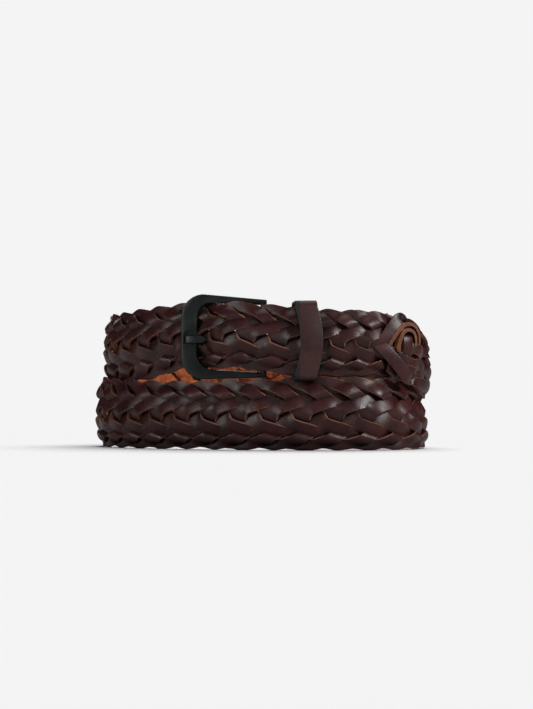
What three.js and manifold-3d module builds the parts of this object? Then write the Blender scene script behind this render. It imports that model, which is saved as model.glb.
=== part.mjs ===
// A braided leather belt, buckled, coiled into two stacked turns and standing on its lower edge.
// Millimetres. +X runs to the right along the front, +Y away from the front, +Z up.
import * as THREE from "three";
import { mergeVertices } from "three/addons/utils/BufferGeometryUtils.js";
import Module from "manifold-3d";

const wasm = await Module();
wasm.setup();

// Clearance left between pieces that touch
const GAP = 0.3;

// Plan of the coil: a squarish ellipse, turned so that its right end comes forward
const coil = {
  halfLength: 92,
  halfDepth: 56,
  squareness: 2.25,
  turnDegrees: 27,
  hingeDegrees: 285.9, // place of the buckle's hinge bar round the ellipse
  rowGap: 3.2, // height left between the two stacked turns
};

// The braided strap
const strap = {
  width: 34.8, // over the tops of its scalloped edges
  thickness: 3.8,
  pitch: 16.5, // from one strand to the next that runs the same way
  scallop: 1.5, // how far the edge draws in between two strands
  groove: 0.9, // depth of the furrows between the rows of strands
  strandLift: 0.35, // how far a strand rises and falls as it passes over and under
  buckledShare: 0.92, // width left where it is squeezed through the buckle
  tightPitchShare: 0.63, // the braid draws tight past the keeper
};

// Buckle frame, seen from the front with its hinge bar on the right
const frame = {
  reach: 39.5, // hinge bar to the middle of the front bar
  room: 1.2, // between the squeezed strap and each side bar
  narrowing: 4, // the frame is this much lower at its open end
  hingeDrop: 1.5, // the open end sits this much lower than the front bar
  barWidth: 8.6,
  sideBar: 4.8,
  sideBarEnd: 2.8, // the side bars thin towards the hinge bar
  thickness: 3.2,
  corner: 12,
  windowCorner: 7,
  bevel: 0.8,
  pinRadius: 1.6,
  lift: 3, // the buckle sits this much higher than the middle of the upper turn
};

const FRAME_HEIGHT = strap.buckledShare * strap.width + 2 * (frame.sideBar + frame.room);
const HINGE_HEIGHT = FRAME_HEIGHT - frame.narrowing;

const prong = { width: 3.7, thickness: 2.2, wall: 1.3, drop: 1.5, overhang: 1.1 };
const notch = { height: 7.3, length: 6.8, topCorner: 3.4, bottomCorner: 0.8, depth: 1.4 };
const slot = { height: 6.4, length: 10, behindPin: 3 };

// Smooth leather tab that carries the buckle, its heights as shares of the strap's width,
// and the leather keeper
const tab = { thickness: 1.4, height: 0.934, bendHeight: 0.862, length: 66, drop: 2 };
const keeper = { start: 18.8, width: 14.6, thickness: 1.5, corner: 0.4, waist: 3, crown: 1, slack: 0.2 };

// The free end: the braid runs on past the keeper and ends in a knot of folded strands
const tip = { braid: 64.5, knot: 27, knotThickness: 4.6, width: 0.9, drop: 1.5 };

// The braid's other end starts between the tab's two layers, just past the keeper
const BRAID_START = keeper.start + keeper.width + 2 * GAP;
const TAB_HEIGHT = tab.height * strap.width;

// Value of a smooth curve through rows of [place, value] that never overshoots
function curveThrough(rows) {
  const slopes = rows.slice(1).map(([x, y], i) => (y - rows[i][1]) / (x - rows[i][0]));
  const tangents = rows.map((_, i) => {
    const before = slopes[i - 1] ?? 0;
    const after = slopes[i] ?? 0;
    return before * after > 0 ? (2 * before * after) / (before + after) : 0;
  });
  return (place) => {
    if (place <= rows[0][0]) return rows[0][1];
    if (place >= rows[rows.length - 1][0]) return rows[rows.length - 1][1];
    const i = rows.findIndex(([x]) => x > place) - 1;
    const span = rows[i + 1][0] - rows[i][0];
    const t = (place - rows[i][0]) / span;
    const fromStart = (1 + 2 * t) * (1 - t) ** 2 * rows[i][1] + t * (1 - t) ** 2 * span * tangents[i];
    const fromEnd = t * t * (3 - 2 * t) * rows[i + 1][1] + t * t * (t - 1) * span * tangents[i + 1];
    return fromStart + fromEnd;
  };
}

// The coil's plan, measured by the distance along it from the hinge bar
const plan = (() => {
  const steps = 2880;
  const turn = THREE.MathUtils.degToRad(coil.turnDegrees);
  const power = 2 / coil.squareness;
  const corner = (i) => {
    const angle = THREE.MathUtils.degToRad(coil.hingeDegrees) + (2 * Math.PI * i) / steps;
    const along = coil.halfLength * Math.sign(Math.cos(angle)) * Math.abs(Math.cos(angle)) ** power;
    const deep = coil.halfDepth * Math.sign(Math.sin(angle)) * Math.abs(Math.sin(angle)) ** power;
    return new THREE.Vector2(along, deep).rotateAround(new THREE.Vector2(), -turn);
  };
  const points = Array.from({ length: steps + 1 }, (_, i) => corner(i));
  const lengths = [0];
  points.slice(1).forEach((p, i) => lengths.push(lengths[i] + p.distanceTo(points[i])));
  return { points, lengths, length: lengths[steps] };
})();
const LOOP = plan.length;

// Point of the plan at a distance along it, at an offset outwards
function planPoint(distance, out = 0) {
  const place = ((distance % LOOP) + LOOP) % LOOP;
  let low = 0;
  let high = plan.lengths.length - 1;
  while (high - low > 1) {
    const middle = (low + high) >> 1;
    if (plan.lengths[middle] <= place) low = middle;
    else high = middle;
  }
  const share = (place - plan.lengths[low]) / (plan.lengths[high] - plan.lengths[low]);
  const outward = planOutward(distance);
  return plan.points[low].clone().lerp(plan.points[high], share).addScaledVector(outward, out);
}

// Outward direction of the plan, averaged over a few millimetres
function planOutward(distance) {
  const wrap = (d) => ((d % LOOP) + LOOP) % LOOP;
  const at = (d) => plan.points[plan.lengths.findIndex((l) => l >= wrap(d))];
  const along = at(distance + 3).clone().sub(at(distance - 3)).normalize();
  return new THREE.Vector2(along.y, -along.x);
}

// Heights of the middle of the two turns, and offsets of what is stacked at the front
const LOWER_ROW = strap.width / 2;
const ROW_STEP = strap.width + coil.rowGap;
const UPPER_ROW = LOWER_ROW + ROW_STEP;
const LAYER = strap.thickness + 2 * GAP; // middle to middle of two straps that lie on each other
const TIP_OUT = 0.4;
const TAB_OUT = TIP_OUT - strap.thickness - tab.thickness - 2 * GAP;
const FRONT_BAR_OUT = 2.4;
const BUCKLE_LIFT = frame.lift / ROW_STEP;
const HINGE_LIFT = (frame.lift - frame.hingeDrop) / ROW_STEP;
const TIP_DROP = tip.drop / ROW_STEP;

// Offset from the plan of the buckle's flat middle plane
function buckleOut(fromHinge) {
  return TAB_OUT + ((FRONT_BAR_OUT - TAB_OUT) * fromHinge) / frame.reach;
}

// Route of the strap from the tab, round both turns, to the knot. Level is 0 for the lower turn and
// 1 for the upper, out is an offset from the plan, lean is how far the top edge leans inwards and
// wide is a share of the width. Each group counts its places from what it passes.
const behindBar = -(frame.thickness / 2 + 3 * GAP + strap.thickness / 2);
const overPin = strap.thickness + tab.thickness + 2 * GAP;
const window = frame.reach - frame.barWidth / 2;
const underTab = [
  { share: 0, level: 0.98, wide: 0.9 },
  { share: 0.91, level: 0.97, wide: 0.92 },
  { share: 1, level: 0.95, wide: 0.92 },
].map(({ share, level, wide }) => ({ at: share * tab.length, level, out: TAB_OUT, lean: 0, wide }));
const roundTheCoil = [
  { turns: 0.175, level: 0.89, layers: -0.36, lean: 0, wide: 0.94 },
  { turns: 0.191, level: 0.85, layers: -0.05, lean: 0, wide: 0.95 },
  { turns: 0.215, level: 0.72, layers: 0.32, lean: 0.017, wide: 0.98 },
  { turns: 0.3, level: 0.6, layers: 0.55, lean: 0.017, wide: 1 },
  { turns: 0.45, level: 0.5, layers: 0.55, lean: 0, wide: 1 },
  { turns: 0.6, level: 0.24, layers: 0.55, lean: 0, wide: 1 },
  { turns: 0.7, level: 0.033, layers: 0.35, lean: 0, wide: 1.06 },
  { turns: 0.745, level: 0.027, layers: 0.2, lean: 0, wide: 1.05 },
  { turns: 0.82, level: 0, layers: 0, lean: 0, wide: 1 },
  { turns: 1.125, level: 0, layers: 0, lean: 0, wide: 1 },
  { turns: 1.137, level: 0.002, layers: -0.08, lean: 0.006, wide: 1 },
  { turns: 1.175, level: 0.004, layers: -0.2, lean: 0.103, wide: 1 },
  { turns: 1.23, level: 0.012, layers: -0.25, lean: 0.103, wide: 1 },
  { turns: 1.36, level: 0.16, layers: -0.55, lean: 0.017, wide: 1 },
  { turns: 1.5, level: 0.5, layers: -0.55, lean: 0, wide: 1 },
  { turns: 1.62, level: 0.86, layers: -0.6, lean: 0, wide: 1 },
  { turns: 1.7, level: 1, layers: -0.75, lean: 0, wide: 1 },
  { turns: 1.78, level: 1, layers: -0.8, lean: 0, wide: 1 },
].map(({ turns, level, layers, lean, wide }) => ({
  at: turns * LOOP,
  level,
  out: layers * LAYER,
  lean: lean * strap.width,
  wide,
}));
const throughBuckle = [
  { back: frame.reach + 0.58 * frame.barWidth, over: behindBar, wide: 0.97, lift: BUCKLE_LIFT },
  { back: frame.reach - 0.35 * frame.barWidth, over: behindBar, wide: 0.96, lift: BUCKLE_LIFT },
  { back: window - 0.7 * frame.barWidth, over: -0.5 * LAYER, wide: strap.buckledShare, lift: BUCKLE_LIFT },
  { back: window - 1.4 * frame.barWidth, over: 0.43 * LAYER, wide: strap.buckledShare, lift: BUCKLE_LIFT },
  { back: 0.41 * frame.reach, over: 0.75 * overPin, wide: strap.buckledShare, lift: BUCKLE_LIFT },
  { back: 0.2 * frame.reach, over: 0.95 * overPin, wide: 0.95, lift: 0.9 * BUCKLE_LIFT },
  { back: 0, over: overPin, wide: 0.96, lift: HINGE_LIFT },
].map(({ back, over, wide, lift }) => ({
  at: 2 * LOOP - back,
  level: 1 + lift,
  out: buckleOut(back) + over,
  lean: 0,
  wide,
}));
const towardsTheKnot = [
  { ahead: keeper.start, drop: 0, out: TIP_OUT, wide: 0.97 },
  { ahead: keeper.start + keeper.width, drop: 0.7, out: TIP_OUT, wide: 0.94 },
  { ahead: 0.94 * tip.braid, drop: 1, out: TIP_OUT, wide: tip.width },
  { ahead: tip.braid + 0.72 * tip.knot, drop: 1, out: 0.86 * LAYER, wide: tip.width },
  { ahead: tip.braid + tip.knot, drop: 1, out: 1.36 * LAYER, wide: tip.width },
].map(({ ahead, drop, out, wide }) => ({
  at: 2 * LOOP + ahead,
  level: 1 - drop * TIP_DROP,
  out,
  lean: 0,
  wide,
}));
const route = [
  ...underTab,
  ...roundTheCoil,
  { at: 2 * LOOP - 1.66 * frame.reach, level: 1 + 0.5 * BUCKLE_LIFT, out: -0.5 * LAYER, lean: 0, wide: 1 },
  ...throughBuckle,
  ...towardsTheKnot,
];
const routeColumn = (name) => curveThrough(route.map((row) => [row.at, row[name]]));
const level = routeColumn("level");
const out = routeColumn("out");
const lean = routeColumn("lean");
const wide = routeColumn("wide");

// Middle of the strap at a distance along it
function strapMiddle(distance) {
  const p = planPoint(distance, out(distance));
  return new THREE.Vector3(p.x, p.y, LOWER_ROW + level(distance) * ROW_STEP);
}

// Directions of the strap at a distance: along it, up its width and out of its face
function strapAxes(distance) {
  const along = strapMiddle(distance + 1.5).sub(strapMiddle(distance - 1.5)).normalize();
  const flat = planOutward(distance);
  const outward = new THREE.Vector3(flat.x, flat.y, 0);
  const up = new THREE.Vector3().crossVectors(outward, along).negate().normalize();
  const face = new THREE.Vector3().crossVectors(along, up).negate().normalize();
  if (up.z < 0) up.negate();
  if (face.dot(outward) < 0) face.negate();
  const tilt = Math.atan2(lean(distance), strap.width / 2);
  const leanUp = up.clone().multiplyScalar(Math.cos(tilt)).addScaledVector(face, -Math.sin(tilt));
  const leanFace = face.clone().multiplyScalar(Math.cos(tilt)).addScaledVector(up, Math.sin(tilt));
  return { along, up: leanUp, face: leanFace };
}

// Closed solid through a row of sections with equally many points, capped or joined in a ring
function loft(sections, ring = false) {
  const count = sections[0].length;
  const positions = sections.flatMap((section) => section.flatMap((p) => [p.x, p.y, p.z]));
  const index = [];
  const last = ring ? sections.length : sections.length - 1;
  for (let i = 0; i < last; i++) {
    const here = i * count;
    const next = ((i + 1) % sections.length) * count;
    for (let j = 0; j < count; j++) {
      const k = (j + 1) % count;
      index.push(here + j, next + j, next + k, here + j, next + k, here + k);
    }
  }
  if (!ring) {
    const end = (sections.length - 1) * count;
    const flat = sections[0].map((_, j) => j);
    for (let j = 1; j < count - 1; j++) {
      index.push(flat[0], flat[j], flat[j + 1]);
      index.push(end, end + j + 1, end + j);
    }
  }
  const geometry = new THREE.BufferGeometry();
  geometry.setAttribute("position", new THREE.Float32BufferAttribute(positions, 3));
  geometry.setIndex(index);
  return facingOut(geometry);
}

// The same geometry with its faces turned round if they point inwards
function facingOut(geometry) {
  const p = geometry.getAttribute("position");
  const index = geometry.getIndex();
  const corner = (i) => new THREE.Vector3().fromBufferAttribute(p, index.getX(i));
  let volume = 0;
  for (let i = 0; i < index.count; i += 3) {
    volume += corner(i).dot(corner(i + 1).cross(corner(i + 2)));
  }
  if (volume < 0) {
    for (let i = 0; i < index.count; i += 3) {
      const second = index.getX(i + 1);
      index.setX(i + 1, index.getX(i + 2));
      index.setX(i + 2, second);
    }
  }
  return geometry;
}

// A geometry as a solid that can be joined and cut
function solidOf(geometry) {
  const bare = geometry.clone();
  bare.deleteAttribute("normal");
  bare.deleteAttribute("uv");
  const merged = mergeVertices(bare, 1e-3);
  const vertProperties = new Float32Array(merged.getAttribute("position").array);
  const triVerts = new Uint32Array(merged.getIndex().array);
  return new wasm.Manifold(new wasm.Mesh({ numProp: 3, vertProperties, triVerts }));
}

// The geometry of a solid
function geometryOf(solid) {
  const mesh = solid.getMesh();
  const geometry = new THREE.BufferGeometry();
  geometry.setAttribute("position", new THREE.BufferAttribute(mesh.vertProperties, 3));
  geometry.setIndex(new THREE.BufferAttribute(mesh.triVerts, 1));
  return geometry;
}

// Shares of the half width and half thickness round the strap's section, from its lower edge
// out and up the front face, then down the back. Row is the strand row whose lift a point has.
const sectionTable = [
  { across: -1, deep: 0.58, row: null },
  { across: -0.75, deep: 1, row: 0 },
  { across: -0.5, deep: "groove", row: null },
  { across: -0.25, deep: 1, row: 1 },
  { across: 0, deep: "groove", row: null },
  { across: 0.25, deep: 1, row: 2 },
  { across: 0.5, deep: "groove", row: null },
  { across: 0.75, deep: 1, row: 3 },
  { across: 1, deep: 0.58, row: null },
  { across: 1, deep: -0.58, row: null },
  { across: 0.7, deep: -1, row: null },
  { across: 0, deep: "back groove", row: null },
  { across: -0.7, deep: -1, row: null },
  { across: -1, deep: -0.58, row: null },
];
const SECTIONS_PER_STRAND = 4;

// One section of the strap. Phase counts strands along it; the two edges are half a strand apart.
function strapSection(distance, phase) {
  const middle = strapMiddle(distance);
  const { up, face } = strapAxes(distance);
  const step = Math.round(phase * SECTIONS_PER_STRAND - 0.5);
  const onStrand = (shift) => (step + shift) % SECTIONS_PER_STRAND;
  const halfWidth = (strap.width / 2) * wide(distance);
  const halfThickness = strap.thickness / 2;
  const depths = { groove: halfThickness - strap.groove, "back groove": -halfThickness + strap.groove };
  return sectionTable.map(({ across, deep, row }) => {
    const edgeStep = onStrand(across > 0 ? SECTIONS_PER_STRAND / 2 : 0);
    const drawnIn = Math.abs(across) === 1 && edgeStep >= SECTIONS_PER_STRAND / 2 ? strap.scallop : 0;
    const sunk = row !== null && onStrand(row) >= SECTIONS_PER_STRAND / 2 ? strap.strandLift : 0;
    const height = (depths[deep] ?? deep * halfThickness) - sunk;
    return middle
      .clone()
      .addScaledVector(up, across * halfWidth - Math.sign(across) * drawnIn)
      .addScaledVector(face, height);
  });
}

// Length that one strand takes along the strap
const pitchAt = curveThrough([
  [2 * LOOP + keeper.start, strap.pitch],
  [2 * LOOP + keeper.start + keeper.width, strap.pitch * strap.tightPitchShare],
]);

function braidedStrap() {
  const end = 2 * LOOP + tip.braid;
  const sections = [];
  let distance = BRAID_START;
  let phase = 0.5 / SECTIONS_PER_STRAND;
  while (distance < end - 1) {
    sections.push(strapSection(distance, phase));
    distance += pitchAt(distance) / SECTIONS_PER_STRAND;
    phase += 1 / SECTIONS_PER_STRAND;
  }
  sections.push(strapSection(end, phase));
  return loft(sections);
}

// Outline of the knot: shares of its length, of the strap's half width and of its thickness
const knotTable = [
  { share: 0, top: 0.98, bottom: -0.98, thick: 0.82 },
  { share: 0.2, top: 1, bottom: -0.98, thick: 1 },
  { share: 0.42, top: 0.98, bottom: -1, thick: 1 },
  { share: 0.58, top: 0.86, bottom: -1, thick: 1 },
  { share: 0.72, top: 0.66, bottom: -0.96, thick: 0.95 },
  { share: 0.84, top: 0.4, bottom: -0.84, thick: 0.9 },
  { share: 0.94, top: 0.16, bottom: -0.6, thick: 0.8 },
  { share: 1, top: -0.02, bottom: -0.36, thick: 0.65 },
];

// The strands folded back and tucked under each other at the free end
function tipKnot() {
  const start = 2 * LOOP + tip.braid + GAP;
  const sections = knotTable.map(({ share, top, bottom, thick }) => {
    const distance = start + share * tip.knot;
    const middle = strapMiddle(distance);
    const { up, face } = strapAxes(distance);
    const half = (thick * tip.knotThickness) / 2;
    const spine = 0.45 * half;
    const reach = (tip.width * strap.width) / 2;
    const at = (across, deep) =>
      middle.clone().addScaledVector(up, across * reach).addScaledVector(face, deep);
    const centre = (top + bottom) / 2;
    const upper = (top + centre) / 2;
    const lower = (bottom + centre) / 2;
    const back = -strap.thickness / 2;
    return [
      at(bottom, spine), at(lower, 0.85 * half), at(centre, half), at(upper, 0.85 * half), at(top, spine),
      at(top, -spine), at(upper, back), at(lower, back), at(bottom, -spine),
    ];
  });
  return loft(sections);
}

// The buckle's own axes: u from the hinge bar to the front bar, v up, w out of its face
const buckleAxes = (() => {
  const hinge = planPoint(0, TAB_OUT);
  const bar = planPoint(-frame.reach, FRONT_BAR_OUT);
  const u = bar.clone().sub(hinge).normalize();
  const w = new THREE.Vector2(-u.y, u.x);
  if (w.dot(planOutward(0)) < 0) w.negate();
  return {
    origin: new THREE.Vector3(hinge.x, hinge.y, UPPER_ROW + frame.lift),
    u: new THREE.Vector3(u.x, u.y, 0),
    v: new THREE.Vector3(0, 0, 1),
    w: new THREE.Vector3(w.x, w.y, 0),
  };
})();

// A geometry drawn in u, v, w moved to the buckle's place
function placeOnBuckle(geometry, depthAxis) {
  const { origin, u, v, w } = buckleAxes;
  const upright = depthAxis === "v";
  const basis = upright ? new THREE.Matrix4().makeBasis(u, w, v) : new THREE.Matrix4().makeBasis(u, v, w);
  const placed = (geometry.index ? geometry : mergeVertices(geometry)).clone();
  placed.applyMatrix4(basis.setPosition(origin));
  placed.deleteAttribute("normal");
  placed.deleteAttribute("uv");
  return facingOut(mergeVertices(placed, 1e-3));
}

// Outline of the frame: a D with a straight front bar and side bars that thin to the hinge bar
function frameOutline(grow, far, corner) {
  const left = frame.reach + frame.barWidth / 2 + grow;
  const half = FRAME_HEIGHT / 2 + grow;
  const shape = new THREE.Shape();
  shape.moveTo(-far, HINGE_HEIGHT / 2 - frame.hingeDrop + grow);
  shape.lineTo(left - corner, half);
  shape.absarc(left - corner, half - corner, corner, Math.PI / 2, 0, true);
  shape.lineTo(left, -half + corner);
  shape.absarc(left - corner, -half + corner, corner, 0, -Math.PI / 2, true);
  shape.lineTo(-far, -HINGE_HEIGHT / 2 - frame.hingeDrop - grow);
  return shape;
}

// Outline of the frame's window, which is open behind the hinge bar
function windowOutline(far) {
  const half = FRAME_HEIGHT / 2 - frame.sideBar;
  const endHalf = HINGE_HEIGHT / 2 - frame.sideBarEnd;
  const corner = frame.windowCorner;
  const shape = new THREE.Shape();
  shape.moveTo(-far, endHalf - frame.hingeDrop);
  shape.lineTo(window - corner, half);
  shape.absarc(window - corner, half - corner, corner, Math.PI / 2, 0, true);
  shape.lineTo(window, -half + corner);
  shape.absarc(window - corner, -half + corner, corner, 0, -Math.PI / 2, true);
  shape.lineTo(-far, -endHalf - frame.hingeDrop);
  return shape;
}

// Seat of the prong in the front bar, open towards the window
function notchOutline() {
  const end = window + notch.length;
  const half = notch.height / 2;
  const top = notch.topCorner;
  const bottom = notch.bottomCorner;
  const shape = new THREE.Shape();
  shape.moveTo(window - 1, half);
  shape.lineTo(end - top, half);
  shape.absarc(end - top, half - top, top, Math.PI / 2, 0, true);
  shape.lineTo(end, -half + bottom);
  shape.absarc(end - bottom, -half + bottom, bottom, 0, -Math.PI / 2, true);
  shape.lineTo(window - 1, -half);
  return shape;
}

function buckleFrame() {
  const far = frame.pinRadius - 0.2;
  const outline = frameOutline(-frame.bevel, far, frame.corner - frame.bevel);
  const body = new THREE.ExtrudeGeometry(outline, {
    depth: frame.thickness - 2 * frame.bevel,
    bevelEnabled: true,
    bevelThickness: frame.bevel,
    bevelSize: frame.bevel,
    bevelSegments: 2,
    curveSegments: 10,
  }).translate(0, 0, frame.bevel - frame.thickness / 2);
  const openShape = windowOutline(far + frame.bevel + 1);
  const opening = new THREE.ExtrudeGeometry(openShape, { depth: 3 * frame.thickness, bevelEnabled: false })
    .translate(0, 0, -1.5 * frame.thickness);
  const pinLength = HINGE_HEIGHT - frame.sideBarEnd;
  const pin = new THREE.CylinderGeometry(frame.pinRadius, frame.pinRadius, pinLength, 20)
    .translate(0, -frame.hingeDrop, 0);
  const floor = frame.thickness / 2 - notch.depth;
  const recess = new THREE.ExtrudeGeometry(notchOutline(), { depth: frame.thickness, bevelEnabled: false })
    .translate(0, 0, floor);
  const solid = solidOf(body).subtract(solidOf(opening)).add(solidOf(pin));
  return placeOnBuckle(geometryOf(solid.subtract(solidOf(recess))), "w");
}

// Side outline of the prong, grown by a clearance: ring round the hinge bar, shank and bent tip
function prongOutline(grow) {
  const ring = frame.pinRadius + GAP + prong.wall + grow;
  const half = prong.thickness / 2 + grow;
  const rest = frame.thickness / 2 - notch.depth + GAP + prong.thickness / 2;
  const end = frame.reach + prong.overhang + grow;
  const bendStart = 0.67 * window;
  const bendEnd = 0.89 * window;
  const mitre = 0.27 * prong.thickness;
  const shape = new THREE.Shape();
  const meet = Math.asin(half / ring);
  shape.absarc(0, 0, ring, meet, 2 * Math.PI - meet, false);
  shape.lineTo(bendStart, -half);
  shape.lineTo(bendEnd, rest - half);
  shape.lineTo(end - half, rest - half);
  shape.absarc(end - half, rest, half, -Math.PI / 2, Math.PI / 2, false);
  shape.lineTo(bendEnd - mitre, rest + half);
  shape.lineTo(bendStart - mitre, half);
  return shape;
}

function prongPiece(grow, withHole) {
  const outline = prongOutline(grow);
  if (withHole) {
    const hole = new THREE.Path();
    hole.absarc(0, 0, frame.pinRadius + GAP, 0, 2 * Math.PI, true);
    outline.holes.push(hole);
  }
  const width = prong.width + 2 * grow;
  const flat = { depth: width, bevelEnabled: false, curveSegments: 9 };
  const geometry = new THREE.ExtrudeGeometry(outline, flat).translate(0, 0, -width / 2 - prong.drop);
  return placeOnBuckle(geometry, "v");
}

function buckleProng() {
  return prongPiece(0, true);
}

// Height of the tab along its legs: it narrows to pass between the frame's side bars
const tabHeight = curveThrough([
  [0, tab.bendHeight * strap.width],
  [0.32 * keeper.start, tab.bendHeight * strap.width],
  [0.9 * keeper.start, TAB_HEIGHT],
  [tab.length, TAB_HEIGHT],
]);
const tabLift = curveThrough([[0, 0], [0.27 * keeper.start, 0], [0.95 * keeper.start, -tab.drop]]);

// The leather tab: out along the front leg, round the hinge bar and back along the other leg
function buckleTab() {
  const legOut = strap.thickness / 2 + GAP + tab.thickness / 2;
  const steps = 11;
  const stations = [];
  for (let i = 0; i <= steps; i++) {
    stations.push({ at: tab.length * (1 - i / steps), side: 1, turn: 0 });
  }
  for (let i = 1; i < 8; i++) stations.push({ at: 0, side: 0, turn: (i * Math.PI) / 8 });
  for (let i = 0; i <= steps; i++) stations.push({ at: (tab.length * i) / steps, side: -1, turn: 0 });
  const sections = stations.map(({ at, side, turn }) => {
    const outward = planOutward(at);
    const backward = new THREE.Vector2(outward.y, -outward.x);
    const direction = side ? outward.clone().multiplyScalar(side)
      : outward.clone().multiplyScalar(Math.cos(turn)).addScaledVector(backward, Math.sin(turn));
    const centre = planPoint(at, TAB_OUT);
    const middle = UPPER_ROW + tabLift(at);
    const half = tabHeight(at) / 2;
    const corner = (deep, high) => {
      const p = centre.clone().addScaledVector(direction, legOut + deep * (tab.thickness / 2));
      return new THREE.Vector3(p.x, p.y, middle + high * half);
    };
    return [corner(-1, -1), corner(1, -1), corner(1, 1), corner(-1, 1)];
  });
  const { origin, u, w } = buckleAxes;
  const opening = new THREE.BoxGeometry(slot.length, slot.length * 1.6, slot.height);
  const place = origin.clone().addScaledVector(u, slot.length / 2 - slot.behindPin);
  place.z -= prong.drop;
  const turned = new THREE.Matrix4().makeBasis(u, w, new THREE.Vector3(0, 0, 1));
  opening.applyMatrix4(turned.setPosition(place));
  return geometryOf(solidOf(loft(sections)).subtract(solidOf(facingOut(opening))));
}

// The keeper: a leather band round the free end and the tab, crowned at the front and waisted
function keeperLoop() {
  const r = keeper.corner;
  const front = TIP_OUT + strap.thickness / 2 + GAP + keeper.slack - r;
  const back = TAB_OUT - strap.thickness / 2 - tab.thickness - 2 * GAP - keeper.slack + r;
  const half = Math.max(TAB_HEIGHT / 2 + tab.drop, strap.width / 2) + GAP - r;
  const corners = [
    { deep: front, high: half, from: 90 },
    { deep: front, high: -half, from: 0 },
    { deep: back, high: -half, from: -90 },
    { deep: back, high: half, from: 180 },
  ];
  const around = corners.flatMap(({ deep, high, from }, i) => {
    const bend = [0, 30, 60, 90].map((step) => ({ deep, high, degrees: from - step, bulge: 0 }));
    const next = corners[(i + 1) % corners.length];
    const sideSteps = next.deep === deep ? [1, 2, 3, 4, 5, 6, 7] : [];
    const side = sideSteps.map((step) => {
      const place = step / (sideSteps.length + 1);
      const bulge = deep === front ? 1 - (2 * place - 1) ** 2 : 0;
      return { deep, high: high + (next.high - high) * place, degrees: from - 90, bulge };
    });
    return [...bend, ...side];
  });
  const middle = keeper.start + keeper.width / 2;
  const sections = around.map(({ deep, high, degrees, bulge }) => {
    const angle = THREE.MathUtils.degToRad(degrees);
    const corner = (side, wall) => {
      const depth = deep + (r + wall) * Math.cos(angle) + keeper.crown * bulge;
      const p = planPoint(middle + side, depth);
      const z = UPPER_ROW + high + (r + wall) * Math.sin(angle);
      return new THREE.Vector3(p.x, p.y, z);
    };
    const left = -keeper.width / 2 + keeper.waist * bulge;
    const right = keeper.width / 2;
    return [
      corner(left, 0), corner(right, 0), corner(right, keeper.thickness), corner(left, keeper.thickness),
    ];
  });
  return loft(sections, true);
}

const leather = new THREE.MeshStandardMaterial({ color: 0x3a2826, roughness: 0.45, metalness: 0 });
const smoothLeather = new THREE.MeshStandardMaterial({ color: 0x33211f, roughness: 0.4, metalness: 0 });
const blackMetal = new THREE.MeshStandardMaterial({ color: 0x202423, roughness: 0.42, metalness: 0.6 });

// The strap with the tunnel that the prong goes through
const strapSolid = solidOf(braidedStrap()).subtract(solidOf(prongPiece(GAP, false)));

const pieces = [
  ["braided_strap", geometryOf(strapSolid), leather],
  ["tip_knot", tipKnot(), leather],
  ["buckle_tab", buckleTab(), smoothLeather],
  ["keeper_loop", keeperLoop(), smoothLeather],
  ["buckle_frame", buckleFrame(), blackMetal],
  ["buckle_prong", buckleProng(), blackMetal],
];

const belt = new THREE.Group();
for (const [name, geometry, material] of pieces) {
  const mesh = new THREE.Mesh(geometry, material.clone());
  mesh.name = name;
  belt.add(mesh);
}

// The part's origin is under the middle of the coil
const box = new THREE.Box3().setFromObject(belt);
const centre = box.getCenter(new THREE.Vector3());
belt.position.set(-centre.x, -centre.y, -box.min.z);

export default belt;
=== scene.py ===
"""A braided leather belt, buckled and coiled into two stacked turns, dressed for its photograph.

Metres. +X runs to the right along the front, +Y away from the camera, +Z up. The strap's route
repeats the one in the part's own source.
"""

from __future__ import annotations

import logging
import math
from collections.abc import Sequence
from dataclasses import dataclass, field
from enum import Enum

import bpy
import numpy as np
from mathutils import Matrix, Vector

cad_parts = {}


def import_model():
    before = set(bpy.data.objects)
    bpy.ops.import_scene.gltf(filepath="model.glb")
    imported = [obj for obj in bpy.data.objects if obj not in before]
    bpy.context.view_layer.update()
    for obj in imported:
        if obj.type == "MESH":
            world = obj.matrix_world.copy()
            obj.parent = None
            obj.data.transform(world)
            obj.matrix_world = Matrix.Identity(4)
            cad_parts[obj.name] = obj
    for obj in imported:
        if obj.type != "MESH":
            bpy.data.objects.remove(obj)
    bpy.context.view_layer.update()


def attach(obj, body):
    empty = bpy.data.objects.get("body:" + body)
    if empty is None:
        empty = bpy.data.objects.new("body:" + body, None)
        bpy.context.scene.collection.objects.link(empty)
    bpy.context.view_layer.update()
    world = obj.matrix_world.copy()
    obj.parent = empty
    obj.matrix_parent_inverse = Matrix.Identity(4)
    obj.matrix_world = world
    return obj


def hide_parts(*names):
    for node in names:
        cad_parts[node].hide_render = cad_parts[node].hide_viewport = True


MM = 0.001
SAME_PLACE = 0.002 * MM
LOG = logging.getLogger("belt")
Numbers = Sequence[float] | np.ndarray


# ---------------------------------------------------------------------------------------------
# Curves and the strap's route
# ---------------------------------------------------------------------------------------------


def curve_through(places: Numbers, values: Numbers, at: np.ndarray) -> np.ndarray:
    """Read a smooth curve that passes through its points and never overshoots.

    Args:
        places: Where the points stand, rising.
        values: Their values.
        at: Where the curve is read.

    Returns:
        The values of the curve.
    """
    x, y = np.array(places, float), np.array(values, float)
    slopes = np.diff(y) / np.diff(x)
    before, after = np.append(0.0, slopes), np.append(slopes, 0.0)
    product = before * after
    total = np.where(product > 0, before + after, 1.0)
    tangents = np.where(product > 0, 2 * product / total, 0.0)
    place = np.clip(at, x[0], x[-1])
    i = np.clip(np.searchsorted(x, place, side="right") - 1, 0, len(x) - 2)
    span = x[i + 1] - x[i]
    t = (place - x[i]) / span
    start = (1 + 2 * t) * (1 - t) ** 2 * y[i] + t * (1 - t) ** 2 * span * tangents[i]
    end = t * t * (3 - 2 * t) * y[i + 1] + t * t * (t - 1) * span * tangents[i + 1]
    return start + end


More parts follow.
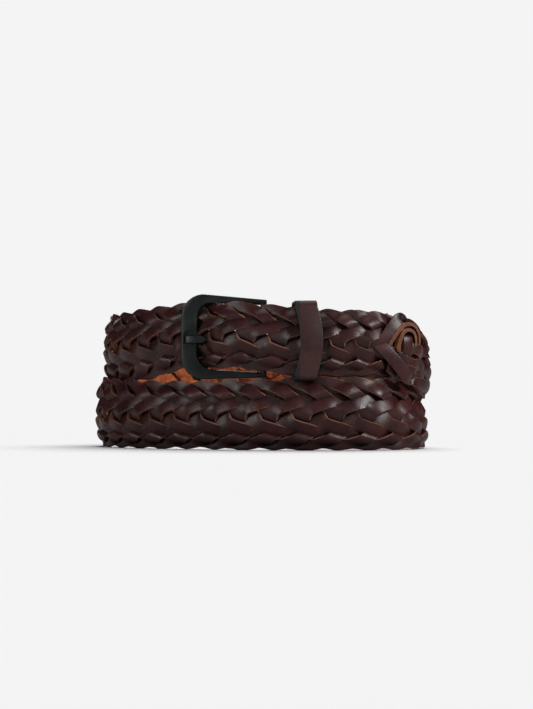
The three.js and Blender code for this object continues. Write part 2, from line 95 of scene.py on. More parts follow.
def ease(t: np.ndarray) -> np.ndarray:
    """Rise smoothly from 0 to 1 while t goes from 0 to 1."""
    t = np.clip(t, 0.0, 1.0)
    return t * t * (3 - 2 * t)


@dataclass(frozen=True)
class Buckle:
    """Sizes of the buckle that the strap's route passes."""

    reach: float = 39.5 * MM
    bar_width: float = 8.6 * MM
    thickness: float = 3.2 * MM
    lift: float = 3.0 * MM
    hinge_drop: float = 1.5 * MM
    front_bar_out: float = 2.4 * MM

    @property
    def window(self) -> float:
        """Distance from the hinge bar to the front bar's inner edge."""
        return self.reach - self.bar_width / 2


@dataclass(frozen=True)
class Keeper:
    """Place and size of the keeper along the strap."""

    start: float = 18.8 * MM
    width: float = 14.6 * MM


@dataclass(frozen=True)
class StrapSizes:
    """Sizes of the braided strap and of what lies between its turns."""

    width: float = 34.8 * MM
    thickness: float = 3.8 * MM
    pitch: float = 16.5 * MM
    tight_pitch: float = 0.75
    buckled: float = 0.97
    row_gap: float = 3.2 * MM
    gap: float = 0.3 * MM
    tab_thickness: float = 1.4 * MM
    tab_length: float = 66 * MM
    tip_braid: float = 64.5 * MM
    tip_knot: float = 27 * MM
    tip_width: float = 0.9
    tip_drop: float = 1.5 * MM
    tip_out: float = 0.4 * MM


@dataclass
class Route:
    """The strap's way from the tab, round both turns, to the knot."""

    strap: StrapSizes = field(default_factory=StrapSizes)
    buckle: Buckle = field(default_factory=Buckle)
    keeper: Keeper = field(default_factory=Keeper)
    half_length: float = 92 * MM
    half_depth: float = 56 * MM
    squareness: float = 2.25
    turned: float = math.radians(27)
    hinge_at: float = math.radians(285.9)
    centring: tuple[float, float] = (-0.6216 * MM, 0.4723 * MM)
    averaged: float = 3 * MM
    steps_round: int = 5760
    table_step: float = 0.5 * MM
    before_hinge: float = 10 * MM
    past_knot: float = 15 * MM
    direction_over: float = 1.5 * MM
    # Strands by which the braid is ahead in its first turn and in its last, and the turns
    # between which the one changes into the other
    strands_ahead: tuple[float, float] = (0.37, -0.1)
    changes_over: tuple[float, float] = (1.2, 1.7)

    def __post_init__(self) -> None:
        """Work out the plan and the strap's middle line and directions along it."""
        angle = self.hinge_at + np.linspace(0, 2 * math.pi, self.steps_round + 1)
        power = 2 / self.squareness
        x = self.half_length * np.sign(np.cos(angle)) * np.abs(np.cos(angle)) ** power
        y = self.half_depth * np.sign(np.sin(angle)) * np.abs(np.sin(angle)) ** power
        c, s = math.cos(-self.turned), math.sin(-self.turned)
        self.plan = np.stack([x * c - y * s, x * s + y * c], axis=1)
        steps_long = np.linalg.norm(np.diff(self.plan, axis=0), axis=1)
        self.lengths = np.append(0.0, np.cumsum(steps_long))
        self.loop = float(self.lengths[-1])
        strap = self.strap
        self.lower_row = strap.width / 2
        self.row_step = strap.width + strap.row_gap
        self.upper_row = self.lower_row + self.row_step
        self.layer = strap.thickness + 2 * strap.gap
        self.tab_out = strap.tip_out - strap.thickness - strap.tab_thickness - 2 * strap.gap
        self.end = 2 * self.loop + strap.tip_braid
        self.start = self.keeper.start + self.keeper.width + 2 * strap.gap
        self._read_table()
        self._lay_middle_line()

    def _on_plan(self, distance: np.ndarray) -> np.ndarray:
        """Give points of the plan.

        Args:
            distance: Distances along the strap from the hinge bar.

        Returns:
            Points on the floor.
        """
        place = np.mod(distance, self.loop)
        flat = [np.interp(place, self.lengths, self.plan[:, i]) for i in (0, 1)]
        return np.stack(flat, axis=-1)

    def plan_point(self, distance: np.ndarray, out: np.ndarray | float = 0.0) -> np.ndarray:
        """Give points of the plan, moved outwards."""
        return self._on_plan(distance) + self.outward(distance) * np.asarray(out)[..., None]

    def outward(self, distance: np.ndarray) -> np.ndarray:
        """Give the plan's outward direction, averaged over a few millimetres.

        Args:
            distance: Distances along the strap from the hinge bar.

        Returns:
            Directions on the floor.
        """
        along = self._on_plan(distance + self.averaged) - self._on_plan(distance - self.averaged)
        along /= np.linalg.norm(along, axis=-1, keepdims=True)
        return np.stack([along[..., 1], -along[..., 0]], axis=-1)

    def buckle_out(self, from_hinge: float) -> float:
        """Offset of the buckle's middle plane from the plan."""
        rise = self.buckle.front_bar_out - self.tab_out
        return self.tab_out + rise * from_hinge / self.buckle.reach

    def _read_table(self) -> None:
        """List the route's rows: place, level, offset outwards, lean and share of the width."""
        strap, buckle, keeper = self.strap, self.buckle, self.keeper
        loop, layer, tab = self.loop, self.layer, self.tab_out
        lift = buckle.lift / self.row_step
        hinge_lift = (buckle.lift - buckle.hinge_drop) / self.row_step
        drop = strap.tip_drop / self.row_step
        behind_bar = -(buckle.thickness / 2 + 3 * strap.gap + strap.thickness / 2)
        over_pin = strap.thickness + strap.tab_thickness + 2 * strap.gap
        rows = [
            (share * strap.tab_length, level, tab, 0.0, wide)
            for share, level, wide in ((0, 0.98, 0.9), (0.91, 0.97, 0.92), (1, 0.95, 0.92))
        ]
        round_the_coil = (
            # Turns, level, layers outwards, lean as a share of the width, share of the width
            (0.175, 0.89, -0.36, 0, 0.94),
            (0.191, 0.85, -0.05, 0, 0.95),
            (0.215, 0.72, 0.32, 0.017, 0.98),
            (0.3, 0.6, 0.55, 0.017, 1),
            (0.45, 0.5, 0.55, 0, 1),
            (0.6, 0.24, 0.55, 0, 1),
            (0.7, 0.033, 0.35, 0, 1.06),
            (0.745, 0.027, 0.2, 0, 1.05),
            (0.82, 0, 0, 0, 1),
            (1.125, 0, 0, 0, 1),
            (1.137, 0.002, -0.08, 0.006, 1),
            (1.175, 0.004, -0.2, 0.103, 1),
            (1.23, 0.012, -0.25, 0.103, 1),
            (1.36, 0.16, -0.55, 0.017, 1),
            (1.5, 0.5, -0.55, 0, 1),
            (1.62, 0.86, -0.6, 0, 1),
            (1.7, 1, -0.75, 0, 1),
            (1.78, 1, -0.8, 0, 1),
        )
        rows += [
            (turns * loop, level, layers * layer, lean * strap.width, wide)
            for turns, level, layers, lean, wide in round_the_coil
        ]
        rows.append((2 * loop - 1.66 * buckle.reach, 1 + 0.5 * lift, -0.5 * layer, 0, 1))
        window = buckle.window
        through_buckle = (
            # Back from the hinge bar, offset from the buckle's plane, share of the width, lift
            (buckle.reach + 0.58 * buckle.bar_width, behind_bar, 0.97, lift),
            (buckle.reach - 0.35 * buckle.bar_width, behind_bar, 0.96, lift),
            (window - 0.7 * buckle.bar_width, -0.5 * layer, strap.buckled, lift),
            (window - 1.4 * buckle.bar_width, 0.43 * layer, strap.buckled, lift),
            (0.41 * buckle.reach, 0.75 * over_pin, strap.buckled, lift),
            (0.2 * buckle.reach, 0.95 * over_pin, 0.95, 0.9 * lift),
            (0.0, over_pin, 0.96, hinge_lift),
        )
        rows += [
            (2 * loop - back, 1 + up, self.buckle_out(back) + over, 0, wide)
            for back, over, wide, up in through_buckle
        ]
        towards_knot = (
            # Ahead of the hinge bar, share of the drop, offset outwards, share of the width
            (keeper.start, 0, strap.tip_out, 0.97),
            (keeper.start + keeper.width, 0.7, strap.tip_out, 0.94),
            (0.94 * strap.tip_braid, 1, strap.tip_out, strap.tip_width),
            (strap.tip_braid + 0.72 * strap.tip_knot, 1, 0.86 * layer, strap.tip_width),
            (strap.tip_braid + strap.tip_knot, 1, 1.36 * layer, strap.tip_width),
        )
        rows += [
            (2 * loop + ahead, 1 - share * drop, out, 0, wide)
            for ahead, share, out, wide in towards_knot
        ]
        self.columns = np.array(rows).T

    def _lay_middle_line(self) -> None:
        """Tabulate the strap's middle, its directions and its width, at small steps along it."""
        last = self.end + self.strap.tip_knot + self.past_knot
        self.s = np.arange(-self.before_hinge, last, self.table_step)
        at, _, _, lean, wide = self.columns
        self.wide = curve_through(at, wide, self.s)
        tilt = np.arctan2(curve_through(at, lean, self.s), self.strap.width / 2)[:, None]
        self.middle = self._middle_at(self.s)
        over = self.direction_over
        along = self._middle_at(self.s + over) - self._middle_at(self.s - over)
        along /= np.linalg.norm(along, axis=1, keepdims=True)
        flat = self.outward(self.s)
        outward = np.concatenate([flat, np.zeros((len(flat), 1))], axis=1)
        up = -np.cross(outward, along)
        up /= np.linalg.norm(up, axis=1, keepdims=True)
        up *= np.sign(up[:, 2:3])
        face = np.cross(along, up)
        face *= np.sign(np.sum(face * outward, axis=1, keepdims=True))
        self.up = up * np.cos(tilt) - face * np.sin(tilt)
        self.face = face * np.cos(tilt) + up * np.sin(tilt)

    def _middle_at(self, distance: np.ndarray) -> np.ndarray:
        """Middle of the strap at distances along it.

        Args:
            distance: Distances along the strap from the hinge bar.

        Returns:
            Points in metres.
        """
        at, level, out, _, _ = self.columns
        flat = self.plan_point(distance, curve_through(at, out, distance))
        high = self.lower_row + curve_through(at, level, distance) * self.row_step
        return np.concatenate([flat + np.array(self.centring), high[:, None]], axis=1)

    def place(self, s: np.ndarray, across: np.ndarray, deep: np.ndarray) -> np.ndarray:
        """Put flat strap coordinates in space.

        Args:
            s: Distances along the strap from the hinge bar.
            across: Heights over the strap's middle, before it narrows.
            deep: Distances out of the strap's face.

        Returns:
            Points in metres, with a last axis of three.
        """
        middle, up, face = (
            np.stack([np.interp(s, self.s, table[:, i]) for i in range(3)], axis=-1)
            for table in (self.middle, self.up, self.face)
        )
        wide = np.interp(s, self.s, self.wide)
        return middle + up * (across * wide)[..., None] + face * deep[..., None]

    def strands_passed(self, s: np.ndarray) -> np.ndarray:
        """Count the strands along the strap up to each distance.

        Args:
            s: Distances along the strap from the hinge bar.

        Returns:
            The counts, about 0 at the end of the first turn.
        """
        pitch = self.pitch_at(self.s)
        counted = np.append(0.0, np.cumsum(np.diff(self.s) / ((pitch[1:] + pitch[:-1]) / 2)))
        counted -= np.interp(self.loop, self.s, counted)
        changes = [turn * self.loop for turn in self.changes_over]
        counted += curve_through(changes, self.strands_ahead, self.s)
        return np.interp(s, self.s, counted)

    def pitch_at(self, s: np.ndarray) -> np.ndarray:
        """Length along the strap from one strand to the next.

        Args:
            s: Distances along the strap from the hinge bar.

        Returns:
            Lengths in metres.
        """
        start = 2 * self.loop + self.keeper.start
        tight = self.strap.pitch * self.strap.tight_pitch
        return curve_through([start, start + self.keeper.width], [self.strap.pitch, tight], s)


# ---------------------------------------------------------------------------------------------
# Shader groups and finishes
# ---------------------------------------------------------------------------------------------


class Nodes:
    """A small helper that adds and links shader nodes in one tree."""

    def __init__(self, tree: bpy.types.NodeTree) -> None:
        """Keep the tree that the nodes go into."""
        self.tree = tree

    def fill(self, node: bpy.types.Node, sockets: dict[str | int, object]) -> None:
        """Link or set a node's inputs, by their names or places.

        Args:
            node: The node.
            sockets: What goes into its inputs: a value, or the output to link.
        """
        for name, value in sockets.items():
            if isinstance(value, bpy.types.NodeSocket):
                self.tree.links.new(value, node.inputs[name])
            else:
                node.inputs[name].default_value = value

    def add(self, kind: str, **settings: object) -> bpy.types.Node:
        """Add a node and set its properties, and fill its inputs from sockets.

        Args:
            kind: The node's type.
            settings: Its properties, and in sockets what goes into its inputs.

        Returns:
            The node.
        """
        sockets = settings.pop("sockets", {})
        node = self.tree.nodes.new(kind)
        for name, value in settings.items():
            setattr(node, name, value)
        self.fill(node, sockets)
        return node

    def place(self) -> bpy.types.NodeSocket:
        """Give the place on the piece, which every pattern reads."""
        return self.add("ShaderNodeTexCoord").outputs["Object"]

    def noise(self, vector: bpy.types.NodeSocket, scale: float, detail: float = 3.0,
              rough: float = 0.5, warp: float = 0.0) -> bpy.types.NodeSocket:
        """Add a noise texture and give its value."""
        return self.add("ShaderNodeTexNoise", sockets={
            "Vector": vector, "Scale": scale, "Detail": detail, "Roughness": rough,
            "Distortion": warp}).outputs["Fac"]

    def math(self, what: str, a: object, b: object) -> bpy.types.NodeSocket:
        """Add a math node and give its value."""
        return self.add("ShaderNodeMath", operation=what, sockets={0: a, 1: b}).outputs[0]

    def blend(self, a: object, share: float, b: object,
              other_share: float) -> bpy.types.NodeSocket:
        """Add two values up, each by its share."""
        return self.math("ADD", self.math("MULTIPLY", a, share),
                         self.math("MULTIPLY", b, other_share))

    def spread(self, value: object, low: float, high: float, to_low: float,
               to_high: float) -> bpy.types.NodeSocket:
        """Map a value from one range to another, clamped."""
        return self.add("ShaderNodeMapRange", clamp=True, sockets={
            "Value": value, "From Min": low, "From Max": high, "To Min": to_low,
            "To Max": to_high}).outputs["Result"]

    def mix(self, factor: object, a: object, b: object,
            blend: str = "MIX") -> bpy.types.NodeSocket:
        """Mix two colours and give the result."""
        node = self.add("ShaderNodeMix", data_type="RGBA", blend_type=blend,
                        sockets={0: factor, 6: a, 7: b})
        return node.outputs[2]

    def darken(self, shade: object, level: bpy.types.NodeSocket) -> bpy.types.NodeSocket:
        """Multiply a colour by a level."""
        grey = self.add("ShaderNodeCombineColor", sockets={
            "Red": level, "Green": level, "Blue": level})
        return self.mix(1.0, shade, grey.outputs["Color"], "MULTIPLY")

    def bump(self, strength: float, distance: float,
             height: bpy.types.NodeSocket) -> bpy.types.NodeSocket:
        """Add a bump node and give its normal."""
        return self.add("ShaderNodeBump", sockets={
            "Strength": strength, "Distance": distance, "Height": height}).outputs["Normal"]


def colour(hexed: str) -> tuple[float, float, float, float]:
    """Turn a screen colour such as 3a2826 into the linear colour that a shader takes.

    Args:
        hexed: The screen colour, six digits.

    Returns:
        The linear colour with its alpha.
    """
    channels = [int(hexed[i:i + 2], 16) / 255 for i in (0, 2, 4)]
    linear = [c / 12.92 if c <= 0.04045 else ((c + 0.055) / 1.055) ** 2.4 for c in channels]
    return (*linear, 1.0)


def shader_group(name: str, inputs: list[tuple[str, str, object]],
                 outputs: list[tuple[str, str]]) -> tuple[bpy.types.NodeTree, Nodes]:
    """Start a shader node group with named sockets.

    Args:
        name: Name of the group.
        inputs: Socket names, socket types and default values.
        outputs: Socket names and socket types.

    Returns:
        The group and a helper for its nodes.
    """
    group = bpy.data.node_groups.new(name, "ShaderNodeTree")
    for label, kind, value in inputs:
        socket = group.interface.new_socket(name=label, in_out="INPUT", socket_type=kind)
        socket.default_value = value
    for label, kind in outputs:
        group.interface.new_socket(name=label, in_out="OUTPUT", socket_type=kind)
    return group, Nodes(group)


def grain_group() -> bpy.types.NodeTree:
    """Make the group for a leather's grain: its colour, its roughness and its pores.

    Returns:
        The group.
    """
    group, nodes = shader_group(
        "Leather grain",
        [("Colour", "NodeSocketColor", (0.1, 0.05, 0.04, 1)),
         ("Tint", "NodeSocketColor", (0.1, 0.05, 0.04, 1)),
         ("Shade", "NodeSocketFloat", 0.5),
         ("Roughness", "NodeSocketFloat", 0.4)],
        [("Colour", "NodeSocketColor"), ("Roughness", "NodeSocketFloat"),
         ("Height", "NodeSocketFloat")],
    )
    start = group.nodes.new("NodeGroupInput").outputs
    end = group.nodes.new("NodeGroupOutput")
    place = nodes.place()
    cloud = nodes.noise(place, scale=75.0, detail=3.0, rough=0.55)
    mottle = nodes.noise(place, scale=420.0, detail=4.0, rough=0.6, warp=0.4)
    tinted = nodes.spread(nodes.blend(cloud, 0.65, mottle, 0.35), 0.32, 0.68, 0.0, 1.0)
    base = nodes.mix(tinted, start["Colour"], start["Tint"])
    pores = nodes.add("ShaderNodeTexVoronoi", feature="DISTANCE_TO_EDGE",
                      sockets={"Vector": place, "Scale": 1500.0}).outputs["Distance"]
    pebbled = nodes.spread(pores, 0.0, 0.35, 0.0, 1.0)
    fine = nodes.noise(place, scale=2400.0, detail=2.0, rough=0.6)
    height = nodes.math("ADD", nodes.blend(pebbled, 0.45, fine, 0.55),
                        nodes.math("MULTIPLY", mottle, 0.8))
    uneven = nodes.spread(cloud, 0.3, 0.7, -0.07, 0.09)
    nodes.fill(end, {
        "Colour": nodes.darken(base, nodes.spread(start["Shade"], 0.0, 1.0, 0.72, 1.28)),
        "Roughness": nodes.math("ADD", start["Roughness"], uneven),
        "Height": height})
    return group


def fibre_group() -> bpy.types.NodeTree:
    """Make the group for raw leather: the fluff of its flesh side and of its cut edges.

    Returns:
        The group.
    """
    group, nodes = shader_group(
        "Leather fibre",
        [("Dark", "NodeSocketColor", (0.1, 0.04, 0.02, 1)),
         ("Light", "NodeSocketColor", (0.5, 0.2, 0.1, 1)),
         ("Scale", "NodeSocketFloat", 1.0),
         ("Amount", "NodeSocketFloat", 0.5)],
        [("Colour", "NodeSocketColor"), ("Height", "NodeSocketFloat")],
    )
    start = group.nodes.new("NodeGroupInput").outputs
    end = group.nodes.new("NodeGroupOutput")
    scaled = nodes.add("ShaderNodeVectorMath", operation="SCALE",
                       sockets={0: nodes.place(), 3: start["Scale"]}).outputs[0]
    fluff = nodes.noise(scaled, scale=520.0, detail=5.0, rough=0.72, warp=1.2)
    clumps = nodes.noise(scaled, scale=150.0, detail=3.0, rough=0.6, warp=0.6)
    both = nodes.blend(fluff, 0.6, clumps, 0.4)
    share = nodes.math("MULTIPLY", nodes.spread(both, 0.36, 0.62, 0.0, 1.0), start["Amount"])
    nodes.fill(end, {"Colour": nodes.mix(share, start["Dark"], start["Light"]), "Height": both})
    return group


def new_material(name: str) -> tuple[bpy.types.Material, Nodes, bpy.types.Node]:
    """Start a material, and give it with a helper for its nodes and with its shader.

    Args:
        name: Name of the material.

    Returns:
        The material, the helper and the shader.
    """
    material = bpy.data.materials.new(name)
    material.use_nodes = True
    return material, Nodes(material.node_tree), material.node_tree.nodes["Principled BSDF"]


@dataclass(frozen=True)
class GrainFinish:
    """Smooth outer side of dyed leather, with painted shade that darkens it where it is closed in
    and a touch of painted light in the open.
    """

    name: str
    base: str
    tint: str
    roughness: float
    specular: float = 0.42
    bump: float = 0.2
    pore_depth: float = 0.35 * MM
    shade: float = 0.5
    # Painted shade: colour level in deep creases, level in the open (a touch of painted light),
    # and how far the occlusion reaches
    painted_crease_shade: float = 0.15
    painted_light_in_open: float = 1.05
    painted_shade_reach: float = 7 * MM

    def material(self, group: bpy.types.NodeTree) -> bpy.types.Material:
        """Make the finish as a material.

        Args:
            group: The node group that it uses.

        Returns:
            The material.
        """
        material, nodes, shader = new_material(self.name)
        grain = nodes.add("ShaderNodeGroup", node_tree=group, sockets={
            "Colour": colour(self.base), "Tint": colour(self.tint), "Shade": self.shade,
            "Roughness": self.roughness}).outputs
        # Painted shade: ambient occlusion darkens the base colour in creases and between strands,
        # and lightens it slightly in the open
        openness = nodes.add("ShaderNodeAmbientOcclusion", samples=4,
                             sockets={"Distance": self.painted_shade_reach}).outputs["AO"]
        level = nodes.spread(openness, 0.3, 0.9, self.painted_crease_shade, self.painted_light_in_open)
        nodes.fill(shader, {
            "Base Color": nodes.darken(grain["Colour"], level),
            "Roughness": grain["Roughness"],
            "Normal": nodes.bump(self.bump, self.pore_depth, grain["Height"]),
            "Specular IOR Level": self.specular})
        return material


@dataclass(frozen=True)
class FibreFinish:
    """Raw leather: the flesh side, or an edge left as cut."""

    name: str
    dark: str
    light: str
    amount: float
    scale: float = 1.0
    roughness: float = 0.9
    bump: float = 0.6
    fluff_height: float = 0.5 * MM
    sheen: float = 0.25
    sheen_roughness: float = 0.5

    def material(self, group: bpy.types.NodeTree) -> bpy.types.Material:
        """Make the finish as a material.

        Args:
            group: The node group that it uses.

        Returns:
            The material.
        """
        material, nodes, shader = new_material(self.name)
        fibre = nodes.add("ShaderNodeGroup", node_tree=group, sockets={
            "Dark": colour(self.dark), "Light": colour(self.light), "Amount": self.amount,
            "Scale": self.scale}).outputs
        nodes.fill(shader, {
            "Base Color": fibre["Colour"],
            "Normal": nodes.bump(self.bump, self.fluff_height, fibre["Height"]),
            "Roughness": self.roughness,
            "Sheen Weight": self.sheen,
            "Sheen Roughness": self.sheen_roughness})
        return material


@dataclass(frozen=True)
class MetalFinish:
    """Blackened metal with a satin coat."""

    name: str
    base: str
    worn: str
    roughness: float
    metallic: float
    bump: float = 0.1
    bump_height: float = 0.2 * MM

    def material(self) -> bpy.types.Material:
        """Make the finish as a material.

        Returns:
            The material.
        """
        material, nodes, shader = new_material(self.name)
        place = nodes.place()
        cloud = nodes.noise(place, scale=160.0, detail=4.0, rough=0.6)
        fine = nodes.noise(place, scale=1900.0, detail=2.0)
        wear = nodes.spread(cloud, 0.42, 0.62, 0.0, 1.0)
        rough = nodes.spread(cloud, 0.3, 0.7, self.roughness - 0.05, self.roughness + 0.06)
        nodes.fill(shader, {
            "Base Color": nodes.mix(wear, colour(self.base), colour(self.worn)),
            "Roughness": rough,
            "Normal": nodes.bump(self.bump, self.bump_height, fine),
            "Metallic": self.metallic})
        return material


class Tone(Enum):
    """How dark a strand was dyed."""

    DEEP = 0.32
    MIDDLE = 0.5
    WARM = 0.68


class Finishes:
    """All the materials of the belt."""

    def __init__(self) -> None:
        """Make the groups and the materials that use them."""
        grain, fibre = grain_group(), fibre_group()
        self.strand = {
            tone: GrainFinish(f"Strand leather {tone.name.lower()}", "271111", "471e1d", 0.35,
                              shade=tone.value).material(grain)
            for tone in Tone
        }
        self.smooth, self.painted = (
            finish.material(grain) for finish in (
                GrainFinish("Smooth leather", "371f1e", "492b29", 0.36, bump=0.08),
                GrainFinish("Painted edge", "1a1c1b", "232625", 0.5, bump=0.1)))
        self.edge, self.rim, self.flesh = (
            finish.material(fibre) for finish in (
                FibreFinish("Cut edge", "4a3a33", "94593a", 0.55, scale=1.5, sheen=0.1),
                FibreFinish("Worn rim", "301c17", "d06c2e", 0.85, scale=1.2, sheen=0.1),
                FibreFinish("Flesh side", "4a1a07", "d87640", 1.0, sheen=0.15)))
        self.metal = MetalFinish("Blackened metal", "1a1e1e", "242929", 0.36, 0.4).material()

    def for_strand(self, tone: Tone) -> list[bpy.types.Material]:
        """List a strand's materials: grain side, flesh side, cut edges and their worn rims."""
        return [self.strand[tone], self.flesh, self.edge, self.rim]


# ---------------------------------------------------------------------------------------------
# Mesh helpers
# ---------------------------------------------------------------------------------------------


def select_only(piece: bpy.types.Object) -> None:
    """Make one piece the only selected one."""
    bpy.ops.object.select_all(action="DESELECT")
    piece.select_set(True)
    bpy.context.view_layer.objects.active = piece


def apply_modifier(piece: bpy.types.Object, kind: str, **settings: object) -> None:
    """Add a modifier to a piece, set it and apply it.

    Args:
        piece: The piece.
        kind: The modifier's type.
        settings: Its properties.
    """
    select_only(piece)
    modifier = piece.modifiers.new(kind.title(), kind)
    for name, value in settings.items():
        setattr(modifier, name, value)
    bpy.ops.object.modifier_apply(modifier=modifier.name)


def round_edges(piece: bpy.types.Object, width: float, segments: int, material: int = -1,
                sharper_than: float = 50) -> None:
    """Bevel a piece's edges that are sharper than an angle in degrees.

    Args:
        piece: The piece.
        width: Width of the bevel.
        segments: Its steps.
        material: Slot of the bevel's material, or -1 for that of the faces beside it.
        sharper_than: The angle.
    """
    apply_modifier(piece, "BEVEL", width=width, segments=segments, limit_method="ANGLE",
                   angle_limit=math.radians(sharper_than), material=material)


def smooth(piece: bpy.types.Object) -> None:
    """Shade a piece smooth."""
    select_only(piece)
    bpy.ops.object.shade_smooth()


def weld(piece: bpy.types.Object, quads: bool = False) -> None:
    """Merge a piece's double points, then make its faces quads or turn them outwards.

    Args:
        piece: The piece.
        quads: Whether its triangles become quads.
    """
    select_only(piece)
    bpy.ops.object.mode_set(mode="EDIT")
    bpy.ops.mesh.select_all(action="SELECT")
    bpy.ops.mesh.remove_doubles(threshold=SAME_PLACE)
    if quads:
        bpy.ops.mesh.tris_convert_to_quads()
    else:
        bpy.ops.mesh.normals_make_consistent(inside=False)
    bpy.ops.object.mode_set(mode="OBJECT")


def sheet_of(name: str, points: np.ndarray) -> bpy.types.Object:
    """Lay a grid over rows of points.

    Args:
        name: Name of the piece.
        points: Points of the sheet: along, across, and three coordinates.

    Returns:
        The sheet, with its UV map running along and across it.
    """
    long, wide = points.shape[:2]
    bpy.ops.object.select_all(action="DESELECT")
    bpy.ops.mesh.primitive_grid_add(x_subdivisions=wide - 1, y_subdivisions=long - 1, size=1)
    sheet = bpy.context.object
    sheet.name = sheet.data.name = name
    sheet.data.vertices.foreach_set("co", points.reshape(-1).astype(np.float32))
    sheet.data.update()
    return sheet


def leather_strip(name: str, points: np.ndarray, thickness: float,
                  materials: list[bpy.types.Material], round_off: float) -> bpy.types.Object:
    """Make a strip of leather with rounded cut edges.

    Args:
        name: Name of the piece.
        points: Middle surface of the strip, its grain side on the side of the sheet's normals.
        thickness: Thickness of the leather.
        materials: Grain side, flesh side, cut edge and worn rim.
        round_off: How much of each edge is rounded.

    Returns:
        The strip as a closed mesh.
    """
    strip = sheet_of(name, points)
    for material in materials:
        strip.data.materials.append(material)
    apply_modifier(strip, "SOLIDIFY", thickness=thickness, offset=0.0, material_offset=1,
                   material_offset_rim=2, use_even_offset=False)
    round_edges(strip, round_off, segments=2, material=3)
    smooth(strip)
    return strip


def loft(name: str, sections: np.ndarray, closed: bool = False) -> bpy.types.Object:
    """Skin a row of closed sections.

    Args:
        name: Name of the piece.
        sections: Points of the sections: along, around, and three coordinates.
        closed: Whether the last section joins the first one.

    Returns:
        A closed mesh with its faces pointing outwards.
    """
    rows = np.concatenate([sections, sections[:, :1]], axis=1)
    if closed:
        rows = np.concatenate([rows, rows[:1]])
    else:
        ends = [np.repeat(sections[i].mean(axis=0)[None, None], rows.shape[1], axis=1)
                for i in (0, -1)]
        rows = np.concatenate([ends[0], rows, ends[1]])
    piece = sheet_of(name, rows)
    weld(piece)
    smooth(piece)
    return piece


def arc(centre: tuple[float, float], radius: float, start: float, end: float,
        points: int) -> np.ndarray:
    """Draw an arc between two angles, in degrees, as a row of points.

    Args:
        centre: Middle of the arc.
        radius: Its radius.
        start: Its first angle.
        end: Its last angle.
        points: How many points it has.

    Returns:
        The points, one in each row.
    """
    angles = np.radians(np.linspace(start, end, points))
    return np.array(centre) + radius * np.column_stack([np.cos(angles), np.sin(angles)])


def rounded_ring(half_wide: float, half_high: float, radius: float,
                 dome: float = 0.0) -> np.ndarray:
    """Draw a rectangle with rounded corners and slightly domed long sides.

    Args:
        half_wide: Half of its width.
        half_high: Half of its height.
        radius: Radius of its corners.
        dome: How far the middle of a long side stands out.

    Returns:
        The ring, one point in each row.
    """
    points = []
    wide, high = half_wide - radius, half_high - radius
    for start, x, y in ((0, 1, 1), (90, -1, 1), (180, -1, -1), (270, 1, -1)):
        points.append(arc((x * wide, y * high), radius, start, start + 90, 5))
        if start in (0, 180):
            points.append([(x * share * wide, y * (half_high + dome * (1 - share * share)))
                           for share in (0.5, 0.0, -0.5)])
    return np.concatenate(points)


def joined(name: str, parts: list[bpy.types.Object]) -> bpy.types.Object:
    """Join parts into one piece.

    Args:
        name: Name of the piece.
        parts: The parts.

    Returns:
        The piece.
    """
    bpy.ops.object.select_all(action="DESELECT")
    for part in parts:
        part.select_set(True)
    bpy.context.view_layer.objects.active = parts[0]
    bpy.ops.object.join()
    parts[0].name = parts[0].data.name = name
    return parts[0]


def stand_on_floor(piece: bpy.types.Object) -> None:
    """Flatten what would sink into the floor.

    Args:
        piece: The piece.
    """
    points = np.empty(len(piece.data.vertices) * 3, np.float32)
    piece.data.vertices.foreach_get("co", points)
    points[2::3] = np.maximum(points[2::3], 0.0)
    piece.data.vertices.foreach_set("co", points)
    piece.data.update()


# ---------------------------------------------------------------------------------------------
# The braid
# ---------------------------------------------------------------------------------------------


